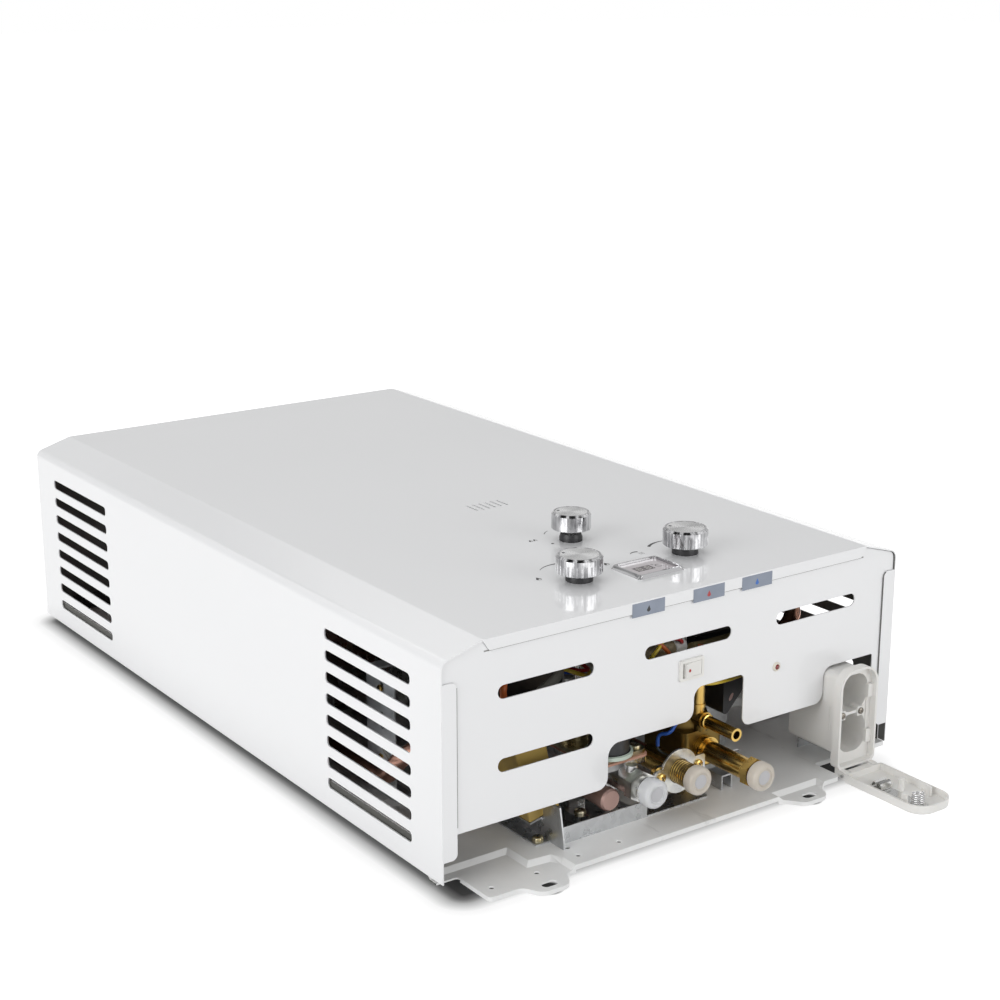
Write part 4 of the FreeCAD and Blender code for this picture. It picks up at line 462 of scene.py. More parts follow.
def turned(bm, profile, at, axis, steps=None):
    """Adds a turned shape: (radius, height) points in mm spun round an axis."""
    verts, edges = outline(bm, [(r, 0, h) for r, h in profile])
    bmesh.ops.spin(bm, geom=verts + edges, cent=(0, 0, 0), axis=(0, 0, 1), angle=math.tau,
                   steps=steps or setting("heater_sizes", "steps"), use_merge=True)
    new = {v for v in verts if v.is_valid}
    stack = list(new)
    while stack:
        for edge in stack.pop().link_edges:
            for v in edge.verts:
                if v not in new:
                    new.add(v)
                    stack.append(v)
    bmesh.ops.transform(bm, matrix=place_at(at, axis), verts=list(new))


def turned_piece(name, profile, at, axis, material, body="heater", steps=None, angle=32.0):
    bm = bmesh.new()
    turned(bm, profile, at, axis, steps)
    return piece(name, bm, material, body, angle)


def block(bm, low, high, bevel=0.0, segments=2, matrix=None):
    """Adds a box between two corners in mm, with eased edges."""
    made = bmesh.ops.create_cube(bm, size=1.0)["verts"]
    lo, hi = mm(*low), mm(*high)
    bmesh.ops.scale(bm, vec=hi - lo, verts=made)
    bmesh.ops.translate(bm, vec=(lo + hi) / 2, verts=made)
    if bevel:
        edges = list({e for v in made for e in v.link_edges})
        made = list({v for f in ease(bm, edges, bevel, segments) for v in f.verts}
                    | {v for v in made if v.is_valid})
    if matrix:
        bmesh.ops.transform(bm, matrix=matrix, verts=made)


def helix(bm, pitch, length, at, axis, steps=40):
    """Adds a thread: a vee profile spun along an axis. Its crest keeps material 0, its flanks get 1."""
    root, crest = THREAD_ROOT - 0.02, THREAD_CREST
    middle = (root + crest) / 2
    profile = ((root, 0), (middle, 0.16), (crest, 0.30), (crest, 0.70), (middle, 0.84), (root, 1))
    before = len(bm.verts)
    turns = int(length / pitch)
    verts, edges = outline(bm, [(r, 0, pitch * part) for r, part in profile])
    bmesh.ops.spin(bm, geom=verts + edges, cent=(0, 0, 0), axis=(0, 0, 1), angle=math.tau * turns,
                   steps=steps * turns, dvec=mm(0, 0, pitch / steps), use_merge=False)
    for face in bm.faces:
        spot = face.calc_center_median() / MM
        face.material_index = 1 if math.hypot(spot.x, spot.y) < crest - 0.1 else 0
    bm.verts.ensure_lookup_table()
    bmesh.ops.transform(bm, matrix=place_at(at, axis), verts=bm.verts[before:])


def screw_head(bm, at, axis, r, h, turn):
    """Adds a pan head with a cross recess to a mesh with two materials: metal and shadow."""
    turned(bm, [(0, -0.4), (r, -0.4), (r, h * 0.30), (r * 0.93, h * 0.62), (r * 0.72, h * 0.88),
                (r * 0.4, h), (0, h)], at, axis, steps=20)
    before = len(bm.faces)
    for quarter in (0, 90):
        block(bm, (-r * 0.55, -r * 0.1, h * 0.72), (r * 0.55, r * 0.1, h + 0.03),
              matrix=place_at(at, axis) @ Matrix.Rotation(math.radians(turn + quarter), 4, "Z"))
    bm.faces.ensure_lookup_table()
    for face in bm.faces[before:]:
        face.material_index = 1


def screws(name, rows, axis, metal, shadow):
    """Pan heads in one piece: x, y, z, radius, height and turn of each in mm and degrees."""
    bm = bmesh.new()
    for x, y, z, r, h, turn in rows:
        screw_head(bm, (x, y, z), axis, r, h, turn)
    return piece(name, bm, [metal, shadow])


def wire_tube(name, points, r, material, body="heater"):
    """A round wire along a smooth line through the given points."""
    curve = bpy.data.curves.new(name, "CURVE")
    curve.dimensions = "3D"
    curve.bevel_depth = r * MM
    curve.bevel_resolution = 3
    curve.resolution_u = 8
    curve.use_fill_caps = True
    spline = curve.splines.new("NURBS")
    spline.points.add(len(points) - 1)
    for p, co in zip(spline.points, points):
        p.co = (*mm(*co), 1.0)
    spline.order_u = 4
    spline.use_endpoint_u = True
    temp = add_object(name + "_line", curve)
    mesh = bpy.data.meshes.new_from_object(temp)
    bpy.data.objects.remove(temp)
    bm = bmesh.new()
    bm.from_mesh(mesh)
    bpy.data.meshes.remove(mesh)
    return piece(name, bm, material, body, angle=50.0)


def sweep_strip(bm, points, x, width, thick):
    """Adds a bent metal strip along (y, z) points, starting at x."""
    before = len(bm.verts)
    edges = outline(bm, [(0, u, v) for u, v in points])[1]
    out = bmesh.ops.extrude_edge_only(bm, edges=edges)["geom"]
    bmesh.ops.translate(bm, vec=mm(width, 0, 0), verts=[g for g in out if isinstance(g, bmesh.types.BMVert)])
    bmesh.ops.solidify(bm, geom=[g for g in out if isinstance(g, bmesh.types.BMFace)], thickness=thick * MM)
    bm.verts.ensure_lookup_table()
    bmesh.ops.translate(bm, vec=mm(x, 0, 0), verts=bm.verts[before:])


def drop(bm, at, w, h, lean=0.25, tip=1.1):
    """Adds a flat flame or drop: a circle drawn out to a point, which may lean."""
    made = bmesh.ops.create_circle(bm, cap_ends=True, segments=28, radius=0.5)["verts"]
    for v in made:
        y = v.co.y
        if y > 0:
            v.co.x *= max(0.0, 1 - 2 * y) ** 0.8 * 0.9 + 0.02
            v.co.x += lean * y
            v.co.y = y * (1 + tip)
    bmesh.ops.scale(bm, vec=mm(w, h / (1 + tip / 2), 1), verts=made)
    bmesh.ops.translate(bm, vec=mm(*at), verts=made)
    return made


def arc_mark(bm, centre, radius, a0, a1, w0, w1, z, steps=40):
    """Adds a flat arc whose width runs from w0 to w1."""
    made = bmesh.ops.create_grid(bm, x_segments=steps, y_segments=1, size=0.5)["verts"]
    for v in made:
        t = v.co.x + 0.5
        a = math.radians(a0 + (a1 - a0) * t)
        r = radius + (w0 + (w1 - w0) * t) * v.co.y
        v.co = mm(centre[0] + r * math.cos(a), centre[1] + r * math.sin(a), z)


def dot(bm, at, r, segments):
    """Adds a flat disc."""
    made = bmesh.ops.create_circle(bm, cap_ends=True, segments=segments, radius=r * MM)["verts"]
    bmesh.ops.translate(bm, vec=mm(*at), verts=made)


def face_up(bm):
    """Turns flat marks so that they all look up."""
    bmesh.ops.reverse_faces(bm, faces=[face for face in bm.faces if face.normal.z < 0])


# -------- operators
def floor_paper():
    """White paper: near the heater and round its ear slots its colour darkens into a painted shadow and its
    glow drops; further off it glows to white.
    """
    n = Nodes("floor paper")
    # distance from the heater's footprint, then from its two ears, which sets the painted shadow
    off = n.vector("SUBTRACT", n.coord, (-0.0175, -0.009, 0.0))
    off = n.vector("SUBTRACT", n.vector("ABSOLUTE", off), (0.1705, 0.317, 1.0))
    off = n.vector("LENGTH", n.vector("MAXIMUM", off))
    lit = n.ramp(off, 0.0, 1.0, 0.002, 0.013)
    for ear in EARS:
        lit = n.calc("MULTIPLY", lit, n.ramp(n.vector("DISTANCE", n.coord, mm(*ear)), 0.0, 1.0, 0.007, 0.010))
    # painted shadow: the paper's colour falls to near black under and beside the heater and round the ear
    # slots
    n.put(Base_Color=n.mix(lit, (0.07,) * 3, (0.35,) * 3), Roughness=0.9, Specular_IOR_Level=0.0)
    near = n.ramp(off, 0.0, 0.55, 0.008, 0.024)
    far = n.ramp(off, 0.0, 0.45, 0.012, 0.058)
    level = n.calc("MULTIPLY", n.calc("ADD", near, far), lit)
    path = n.add("ShaderNodeLightPath").outputs
    seen = n.calc("MAXIMUM", path["Is Camera Ray"], path["Is Glossy Ray"])
    seen = n.calc("MAXIMUM", seen, path["Is Transmission Ray"])
    bounce = n.calc("MULTIPLY", path["Is Diffuse Ray"], 0.38)
    glow = n.calc("ADD", n.calc("MULTIPLY", seen, level), bounce)
    light = n.add("ShaderNodeEmission", {"Color": (1, 1, 1, 1), "Strength": glow})
    both = n.add("ShaderNodeAddShader", {0: n.shader.outputs[0], 1: light.outputs[0]})
    n.tree.links.new(both.outputs[0], n.tree.nodes["Material Output"].inputs["Surface"])
    return n.mat


class HEATER_OT_stage(bpy.types.Operator):
    """Floor, backdrop, softboxes and camera"""
    bl_idname = "heater.stage"
    bl_label = "Stage"

    def execute(self, context):
        scene = context.scene
        scene.view_settings.view_transform = "Standard"
        cam = bpy.data.cameras.new("camera")
        cam.sensor_width = 36.0
        cam.lens = setting("heater_stage", "lens")
        cam.clip_start, cam.clip_end = 0.05, 60.0
        eye = add_object("camera", cam)
        eye.location = mm(-797.30, -1222.57, 569.36)
        eye.rotation_euler = (math.radians(90 - 15.936), 0.0, math.radians(-35.416))
        scene.camera = eye
        bm = bmesh.new()
        made = bmesh.ops.create_grid(bm, x_segments=1, y_segments=1, size=14.0)["verts"]
        bmesh.ops.translate(bm, verts=made, vec=mm(0, 0, -0.4))
        mesh = bpy.data.meshes.new("floor")
        bm.to_mesh(mesh)
        bm.free()
        floor = add_object("floor", mesh)
        mesh.materials.append(floor_paper())
        world = bpy.data.worlds.new("studio")
        world.use_nodes = True
        Studio(world).light(setting("heater_stage", "sky"), setting("heater_stage", "shine"))
        scene.world = world
        key, front, top = (setting("heater_stage", name) for name in ("key", "front", "top"))
        for name, at, aim, size, watts in (
                ("side softbox", (-2.4, -0.5, 1.0), (-0.1, 0.0, 0.1), (1.8, 1.4), key),
                ("front softbox", (0.9, -2.6, 0.9), (0.0, -0.2, 0.08), (1.8, 1.0), front),
                ("low softbox", (-0.55, -1.3, 0.5), (-0.1, -0.33, 0.0), (0.5, 0.5), 0.9),
                ("top softbox", (0.3, 0.9, 2.4), (0.0, 0.0, 0.1), (2.4, 2.4), top)):
            lamp = bpy.data.lights.new(name, "AREA")
            lamp.shape = "RECTANGLE"
            lamp.size, lamp.size_y = size
            lamp.energy = watts
            obj = add_object(name, lamp)
            obj.location = at
            obj.rotation_euler = (Vector(aim) - Vector(at)).to_track_quat("-Z", "Y").to_euler()
        return {"FINISHED"}


def cover_zone(at, normal):
    """Coat outside; the cover's inner faces, which look back at its middle, and the inner face of its lip get
    a dark grey painted as shade.
    """
    if at.y < NEAR + 2 and abs(normal.y) > 0.9:
        return int(normal.y > 0)
    inward = normal.x * at.x + normal.z * (at.z - 60.0) < 0 and abs(normal.y) < 0.5
    deep = abs(at.x) < HALF_WIDTH - 0.6 and at.z < DEPTH - 0.6
    return int(inward and deep)


def round_fold(bm):
    """Gives the bend over the connection end its radius."""
    bmesh.ops.dissolve_limit(bm, angle_limit=math.radians(0.6), verts=bm.verts, edges=bm.edges)
    fold = [e for e in bm.edges
            if all(abs(v.co.y - NEAR * MM) < 1e-5 and v.co.z > (DEPTH - 0.02) * MM for v in e.verts)
            and e.is_manifold and e.calc_length() > 0.05]
    ease(bm, fold, 1.1, 4)


def pan_zone(at, normal):
    """Bare metal on the welded channel, clip and legs, near-black painted shade on the side walls behind the
    louvres, paint elsewhere.
    """
    if abs(at.x) > 188 and abs(normal.x) > 0.6 and at.z > 7:
        return 2
    if at.z <= 6.2:
        return 0
    run = at.y - NEAR
    bare = ((39 < at.x < 51 and run < 21) or (abs(at.x - BOX_MID) < 11 and run < 31)
            or (69 < at.x < 97 and 61 < run < 74) or (-91 < at.x < -59 and 120 < run < 145))
    return int(bare)


class HEATER_OT_housing(bpy.types.Operator):
    """Front cover, end panels, flue cap and back plate"""
    bl_idname = "heater.housing"
    bl_label = "Housing"

    def execute(self, context):
        coat = powder_coat()
        # the near-black wall finish is painted shade on the back plate's side walls, which stand behind the
        # louvres
        painted_shade = finish("dull wall", (0.07, 0.07, 0.062), metallic=0.4, rough=0.5, mottle=0.2)
        # the dark grey inside finish is painted shade on the inner faces of the cover and both end panels
        inner_shade = finish("inside coat", (0.16, 0.16, 0.155), rough=0.6, mottle=0.1)
        skin("front_cover", [coat, inner_shade], angle=35, bevel=0.3, reshape=round_fold, zone=cover_zone)
        skin("end_panel", [coat, inner_shade], angle=35, bevel=0.3, zone=lambda at, normal: int(normal.y > 0.9))
        # dark lines where the cover's lip and flanges lie on the end panel
        bm = bmesh.new()
        face, half, edge = NEAR + 1.28, HALF_WIDTH - SIDE_FLANGE, DEPTH - LIP
        block(bm, (-LIP_HALF, face - 0.02, edge - 0.85), (LIP_HALF, face, edge + 0.2))
        block(bm, (-half, face - 0.02, 42.0), (-half + 1.35, face, 137.0))
        block(bm, (half - 0.35, face - 0.02, 42.0), (half, face, 137.0))
        piece("seam_shadow", bm, finish("seam shadow", (0.30, 0.30, 0.29), rough=0.8, mottle=0.1))
        skin("flue_panel", [coat, inner_shade], angle=35, zone=lambda at, normal: int(normal.y < -0.9))
        dress(coat, 35, "flue_cap")
        skin("back_plate", [pan_paint(), galvanised(), painted_shade], angle=30, bevel=0.4, segments=3, zone=pan_zone)
        dress(steel(), 30, "end_screws")
        return {"FINISHED"}


class HEATER_OT_knobs(bpy.types.Operator):
    """Knobs with fluted sides, spun faces and a dimple, their spindles and collars"""
    bl_idname = "heater.knobs"
    bl_label = "Knobs"

    def execute(self, context):
        # the dimple's dark steel is painted shade in its small pit
        dimple = finish("dimple steel", (0.22, 0.22, 0.23), metallic=1.0, rough=0.18, mottle=0.1)
        for name, (x, y, r) in KNOBS.items():
            body = name + "_knob"
            dress(fluted(), 24, "knob_" + name)
            top = in_mm(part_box("knob_" + name))[1].z
            face = r - KNOB_EDGE * 1.6 - 0.25
            turned_piece(body + "_face", [(0, 0), (face, 0), (face, 0.12), (face - 0.1, 0.2), (0, 0.2)],
                         (x, y, top - 0.3), UP, spun("spun " + name, mm(x, y, top)), body)
            turned_piece(body + "_dimple",
                         [(0, 0.02), (0.6, 0.02), (0.95, 0.16), (1.15, 0.16), (1.25, 0), (0, 0)],
                         (x - face * 0.55, y + face * 0.62, top - 0.12), UP, dimple, body, 24)
            paint(steel(), "spindle_" + name)
        dress(black(), 30, "knob_collars")
        return {"FINISHED"}


# the seven bars of a digit: across and up from its middle, and whether the bar lies flat
SEGMENTS = ((0, 1, 1), (1, 0.5, 0), (1, -0.5, 0), (0, -1, 1), (-1, -0.5, 0), (-1, 0.5, 0), (0, 0, 1))


def slope_bezel(bm):
    """Slopes the outer wall of the bezel from the cover up to its rim."""
    low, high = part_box("display_bezel")
    foot = (DEPTH + 0.5) * MM
    bmesh.ops.bisect_plane(bm, geom=bm.verts[:] + bm.edges[:] + bm.faces[:], dist=1e-7,
                           plane_co=(0, 0, foot), plane_no=(0, 0, 1))
    for v in bm.verts:
        rise = (v.co.z - foot) / (high.z - foot)
        if rise > 0:
            for i in (0, 1):
                for edge, turn in ((low[i], 1), (high[i], -1)):
                    if abs(v.co[i] - edge) < 0.9 * MM:
                        v.co[i] += turn * rise * 1.7 * MM


class HEATER_OT_display(bpy.types.Operator):
    """Temperature display: plated bezel, grey face, dark glass with segment digits"""
    bl_idname = "heater.display"
    bl_label = "Display"

    def execute(self, context):
        plated = finish("bezel plate", (0.50, 0.50, 0.51), metallic=1.0, rough=0.12, spread=0.03)
        grey = finish("display grey", (0.55, 0.505, 0.525), rough=0.16, spread=0.03, mottle=0.02,
                      Coat_Weight=0.6, Coat_Roughness=0.05)
        glass = finish("display glass", (0.12, 0.10, 0.11), rough=0.12, spread=0.03)
        skin("display_bezel", plated, angle=28, reshape=slope_bezel)
        paint(black(), "display_module")
        skin("display_window", grey, angle=30, bevel=0.25)
        low, high = in_mm(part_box("display_window"))
        cx, cy, z = (low.x + high.x) / 2, (low.y + high.y) / 2, high.z
        bm = bmesh.new()
        block(bm, (cx - 11.0, cy - 4.2, z - 0.05), (cx + 4.2, cy + 4.2, z + 0.03))
        piece("display_glass", bm, glass)
        bm = bmesh.new()
        for ox in (cx - 7.2, cx + 0.2):
            for across, up, flat in SEGMENTS:
                px, py = ox + across * 1.7 + up * 0.25, cy + up * 2.6
                w, h = (1.35, 0.28) if flat else (0.28, 1.05)
                block(bm, (px - w, py - h, z + 0.02), (px + w, py + h, z + 0.05), bevel=0.1, segments=1)
            block(bm, (ox + 2.5, cy - 2.95, z + 0.02), (ox + 3.0, cy - 2.45, z + 0.05))
        piece("display_digits", bm, finish("segments", (0.62, 0.60, 0.56), rough=0.3))
        # degree sign and C
        bm = bmesh.new()
        arc_mark(bm, (cx + 6.6, cy + 3.2), 0.75, 0, 360, 0.35, 0.35, z + 0.04, 20)
        arc_mark(bm, (cx + 9.6, cy - 0.3), 2.3, 50, 310, 0.6, 0.6, z + 0.04, 28)
        piece("display_unit", bm, ink())
        return {"FINISHED"}


class HEATER_OT_marks(bpy.types.Operator):
    """Printed arcs, flames, showers and a dot round the knobs"""
    bl_idname = "heater.marks"
    bl_label = "Printed marks"

    def execute(self, context):
        z = DEPTH + 0.03
        (gx, gy, _), (wx, wy, _), (sx, sy, _) = KNOBS.values()
        bm = bmesh.new()
        arc_mark(bm, (gx + 4.9, gy + 16.9), 21.0, 132, 46, 0.4, 2.4, z)
        arc_mark(bm, (wx + 1.5, wy + 9.9), 20.8, 132, 46, 2.4, 0.4, z)
        arc_mark(bm, (sx + 5.5, sy + 11.5), 17.0, 140, 112, 0.7, 0.5, z)
        flames = ((gx - 21.7, gy + 17, 1.0), (gx + 30.5, gy + 16, 1.0), (gx + 36.6, gy + 16, 1.0),
                  (sx - 26.2, sy + 13.5, 0.75), (sx - 22.3, sy + 13.5, 0.75), (sx + 25.0, sy + 12, 0.75))
        for x, y, k in flames:
            drop(bm, (x, y, z), 4.3 * k, 6.0 * k)
        for x, y, columns, rows in ((wx - 30.0, wy + 20.5, 3, 3), (wx + 26.5, wy + 20.5, 1, 4)):
            arc_mark(bm, (x + 0.5, y - 5.2), 6.2, 140, 62, 0.5, 2.0, z, 14)
            for i in range(columns):
                for j in range(rows):
                    dot(bm, (x + 3.4 - (columns - 1) * 0.75 + i * 1.5, y - 2.6 - j * 1.5, z), 0.42, 10)
        dot(bm, (sx - 16.6, sy, z), 1.1, 20)
        face_up(bm)
        piece("printed_marks", bm, ink(), normals=False)
        bm = bmesh.new()
        for x, y, k in flames:
            drop(bm, (x + 0.25 * k, y - 0.9 * k, z + 0.02), 1.7 * k, 2.9 * k)
        face_up(bm)
        piece("flame_tongues", bm, ink("pale ink", (0.8, 0.8, 0.8)), normals=False)
        return {"FINISHED"}


class HEATER_OT_labels(bpy.types.Operator):
    """Foil labels over the cover's front fold, each with a flame or a drop"""
    bl_idname = "heater.labels"
    bl_label = "Port labels"

    def execute(self, context):
        w = setting("heater_sizes", "label_w") / MM
        foil = finish("label foil", setting("heater_finish", "label"), metallic=0.35, rough=0.38,
                      mottle=0.06, mottle_scale=80.0)
        signs = ((-49.0, ink(), 0.25), (4.0, ink("red ink", (0.42, 0.05, 0.05)), 0.0),
                 (48.0, ink("blue ink", (0.05, 0.16, 0.50)), 0.0))
        for k, (x, sign_ink, lean) in enumerate(signs):
            bm = bmesh.new()
            sweep_strip(bm, [(NEAR + 0.25, DEPTH - 0.25), (NEAR - 0.08, DEPTH - 1.4),
                             (NEAR - 0.08, DEPTH - 10.6)], x, w, 0.05)
            piece("port_label_%d" % k, bm, foil, angle=30)
            bm = bmesh.new()
            made = drop(bm, (0, 0, 0), 3.2, 4.6, lean)
            bmesh.ops.rotate(bm, verts=made, cent=(0, 0, 0), matrix=Matrix.Rotation(math.pi / 2, 3, "X"))
            bmesh.ops.translate(bm, verts=made, vec=mm(x + w / 2, NEAR - 0.14, DEPTH - 6.9))
            piece("label_sign_%d" % k, bm, sign_ink)
        return {"FINISHED"}


class HEATER_OT_switch(bpy.types.Operator):
    """Rocker switch with its red dot, and the indicator lamp"""
    bl_idname = "heater.switch"
    bl_label = "Switch and lamp"

    def execute(self, context):
        white = finish("switch plastic", (0.82, 0.81, 0.78), rough=0.3, spread=0.05, mottle=0.02, grain=900.0)
        skin("rocker_housing", white, bevel=0.35)
        skin("rocker", white, bevel=0.4)
        red = finish("red plastic", (0.50, 0.02, 0.02), rough=0.22, mottle=0.05, Transmission_Weight=0.2)
        lens = finish("lamp lens", (0.22, 0.006, 0.008), rough=0.08, spread=0.03, mottle=0.1, Coat_Weight=1.0)
        low, high = in_mm(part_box("rocker"))
        turned_piece("rocker_dot", [(0, -0.3), (1.1, -0.3), (1.1, 0.12), (0.9, 0.2), (0, 0.2)],
                     (low.x + 3.4, low.y + 0.75, (low.z + high.z) / 2), (0.15, -1, 0), red,
                     "switch_rocker", steps=24)
        skin("indicator_bezel", finish("cream plastic", (0.78, 0.74, 0.64), rough=0.35, mottle=0.03))
        skin("indicator_lens", lens)
        return {"FINISHED"}


def shrink_thread(x, y0, y1):
    """Pulls the plain crest cylinder between y0 and y1 in to the thread's root."""
    def reshape(bm):
        bmesh.ops.bisect_plane(bm, geom=bm.verts[:] + bm.edges[:] + bm.faces[:], dist=1e-7,
                               plane_co=mm(0, y1, 0), plane_no=(0, 1, 0))
        for v in bm.verts:
            d = Vector((v.co.x - x * MM, v.co.z - PORT_Z * MM))
            if abs(d.length - THREAD_CREST * MM) < 0.00002 and y0 - 0.1 < v.co.y / MM < y1 + 0.01:
                d *= THREAD_ROOT / THREAD_CREST
                v.co.x, v.co.z = x * MM + d.x, PORT_Z * MM + d.y
    return reshape


def dust_cap(name, x, material, core, body):
    """A moulded cap with a rolled rim, and the plug in its middle."""
    low, high = in_mm(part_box(name))
    r = (high.x - low.x) / 2
    length = high.y - low.y
    obj = turned_piece(name + "_shell", [
        (0, 1.1), (r * 0.52, 1.1), (r * 0.60, 0.75), (r * 0.64, 0.12), (r * 0.70, 0.0), (r * 0.80, 0.1),
        (r * 0.90, 0.55), (r * 0.97, 1.4), (r, 2.4), (r, length - 0.8), (r - 0.3, length), (r - 1.2, length),
        (r - 1.35, length - 1.0), (r - 1.35, 1.65), (0, 1.65)],
        (x, low.y, PORT_Z), FAR, material, body, angle=40)
    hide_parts(name)
    turned_piece(name + "_centre", [(0, -0.12), (r * 0.42, -0.12), (r * 0.5, 0.05), (r * 0.5, 0.3), (0, 0.3)],
                 (x, low.y + 1.0, PORT_Z), FAR, core, body, steps=40, angle=40)


class HEATER_OT_ports(bpy.types.Operator):
    """Threads, hexagons, flange and dust caps of the three pipe ports"""
    bl_idname = "heater.ports"
    bl_label = "Pipe ports"

    def execute(self, context):
        pitch = setting("heater_sizes", "pitch") / MM
        gold, pale = brass(), brass("thread brass", 1.12, 0.22)
        # the thread flanks get a dark brass: painted shade deep in the grooves
        groove_shade = finish("thread groove", (0.10, 0.065, 0.02), metallic=0.6, rough=0.5, mottle=0.2)
        seat = NEAR - 5.0
        skin("water_outlet", gold, reshape=shrink_thread(OUT_X, NEAR - 28.0, seat - 0.4))
        skin("water_inlet_pipe", gold, angle=28, reshape=shrink_thread(IN_X, NEAR - 48.0, NEAR - 39.0))
        skin("gas_inlet", plate_zinc(), angle=28, reshape=shrink_thread(GAS_X, NEAR - 27.0, NEAR - 14.0))
        for name, x, y, length, metal in (("outlet_thread", OUT_X, seat - 0.5, 22.0, pale),
                                          ("inlet_thread", IN_X, NEAR - 40.6, 7.2, pale),
                                          ("gas_thread", GAS_X, NEAR - 15.0, 11.8, plate_zinc())):
            bm = bmesh.new()
            helix(bm, pitch, length, (x, y, PORT_Z), OUT)
            piece(name, bm, [metal, groove_shade], angle=20)
        skin("outlet_flange", plate_zinc(), angle=30, bevel=0.3)
        obj = screws("flange_screw_heads", ((OUT_X - 16.5, seat - 2.0, PORT_Z - 1.2, 3.6, 2.2, 30),
                                            (OUT_X + 16.5, seat - 2.0, PORT_Z + 1.0, 3.6, 2.2, 30)),
                     OUT, brass("bolt brass", 1.1, 0.26), black())
        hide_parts("flange_bolts")
        milk = cap_plastic("cap milk", (0.80, 0.81, 0.82))
        tan = cap_plastic("cap tan", (0.72, 0.66, 0.58))
        core = finish("cap centre", (0.60, 0.60, 0.62), rough=0.4, mottle=0.03, Transmission_Weight=0.2)
        dust_cap("gas_cap", GAS_X, milk, core, "cap_gas")
        dust_cap("outlet_cap", OUT_X, tan, core, "cap_outlet")
        dust_cap("inlet_cap", IN_X, tan, core, "cap_inlet")
        return {"FINISHED"}


def valve_zone(at, normal):
    """Bright brass on the turned ends and the tall stem; a much darker copy of the brass is painted as shade
    on the cast block behind them.
    """
    turned_end = math.hypot(at.x - IN_X, at.z - PORT_Z) < 10.6 and at.y < NEAR + 16
    return int(not turned_end and at.z <= 60)


class HEATER_OT_valves(bpy.types.Operator):
    """Gas valve, water valve, drain spout and their screws"""
    bl_idname = "heater.valves"
    bl_label = "Valves"

    def execute(self, context):
        gasket = finish("gasket", (0.55, 0.27, 0.19), rough=0.6, mottle=0.15, tint=(0.60, 0.36, 0.27))
        bobbin = finish("coil bobbin", (0.52, 0.60, 0.52), rough=0.4, mottle=0.05)
        solenoid = finish("solenoid", (0.46, 0.30, 0.26), metallic=0.4, rough=0.45, mottle=0.1)
        skin("gas_valve_body", cast_alloy(), angle=30, bevel=0.5)
        dress(zinc(), 30, "gas_valve_cover")
        dress(gasket, 30, "gas_gasket")
        skin("gas_coil", [black(), bobbin], angle=30, zone=lambda at, normal: int(at.z < 57.35))
        dress(solenoid, 30, "gas_solenoid")
        dress(galvanised(), 30, "valve_tray")
        # the cast block behind the turned ends gets a far darker copy of the brass as painted shade
        skin("water_valve_body", [brass("valve brass", 0.86, 0.3), brass("dull brass", 0.30, 0.42)],
             angle=28, zone=valve_zone)
        dress(brass(), 28, "relief_spout")
        screws("valve_screws", (
            (-32, NEAR + 14, 54.3, 3.2, 2.2, 35), (-66, NEAR + 84, 54.3, 3.2, 2.2, 35),
            (-32, NEAR + 84, 54.3, 3.2, 2.2, 35), (-74.0, NEAR + 21, 14.0, 4.2, 3.0, 15),
            (-113.2, NEAR + 16, 7.5, 4.0, 2.8, 40)), UP, zinc(), black())
        return {"FINISHED"}


class HEATER_OT_battery(bpy.types.Operator):
    """Battery box with its contacts, and the open lid with strip, spring and post"""
    bl_idname = "heater.battery"
    bl_label = "Battery box"

    def execute(self, context):
        dress(box_plastic(), 35, "battery_box", "battery_lid")
        paint(steel(), "hinge_pin", "box_contacts")
        dark = finish("dark screw", (0.24, 0.22, 0.19), metallic=1.0, rough=0.28, mottle=0.3)
        shadow = finish("screw shadow", (0.05, 0.03, 0.02), rough=0.6, mottle=0.2)
        bright = finish("contact metal", (0.66, 0.66, 0.65), metallic=1.0, rough=0.16, mottle=0.06)
        screws("box_screws", ((137.2, NEAR - 15, 46, 2.5, 1.5, 20), (155.4, NEAR - 15, 46, 2.5, 1.5, 55)),
               OUT, dark, shadow)
        # the lid's contact strip with its two humps, and the spring beside it
        bm = bmesh.new()
        sweep_strip(bm, [(-411.0, 2.1), (-363.0, 2.1)], 139.3, 9.0, 0.4)
        sweep_strip(bm, [(-375.3, 2.6), (-374.9, 4.6), (-373.8, 6.4), (-372.0, 7.3), (-370.3, 6.4),
                         (-369.9, 4.4), (-369.4, 6.2), (-368.0, 7.2), (-366.6, 6.2), (-365.6, 4.4),
                         (-365.3, 2.6)], 138.3, 11.0, 0.4)
        strip = piece("lid_strip", bm, bright, "lid", angle=25)
        turns = setting("heater_sizes", "turns")
        coil = []
        for i in range(turns * 12 + 1):
            t = i / (turns * 12)
            a = math.tau * turns * t
            r = 5.1 - 1.0 * t
            coil.append((143.8 + r * math.cos(a), -404.3 + r * math.sin(a), 3.1 + 6.9 * t))
        wire_tube("lid_coil", coil, 0.45, chrome(), "lid")
        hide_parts("lid_contacts")
        return {"FINISHED"}


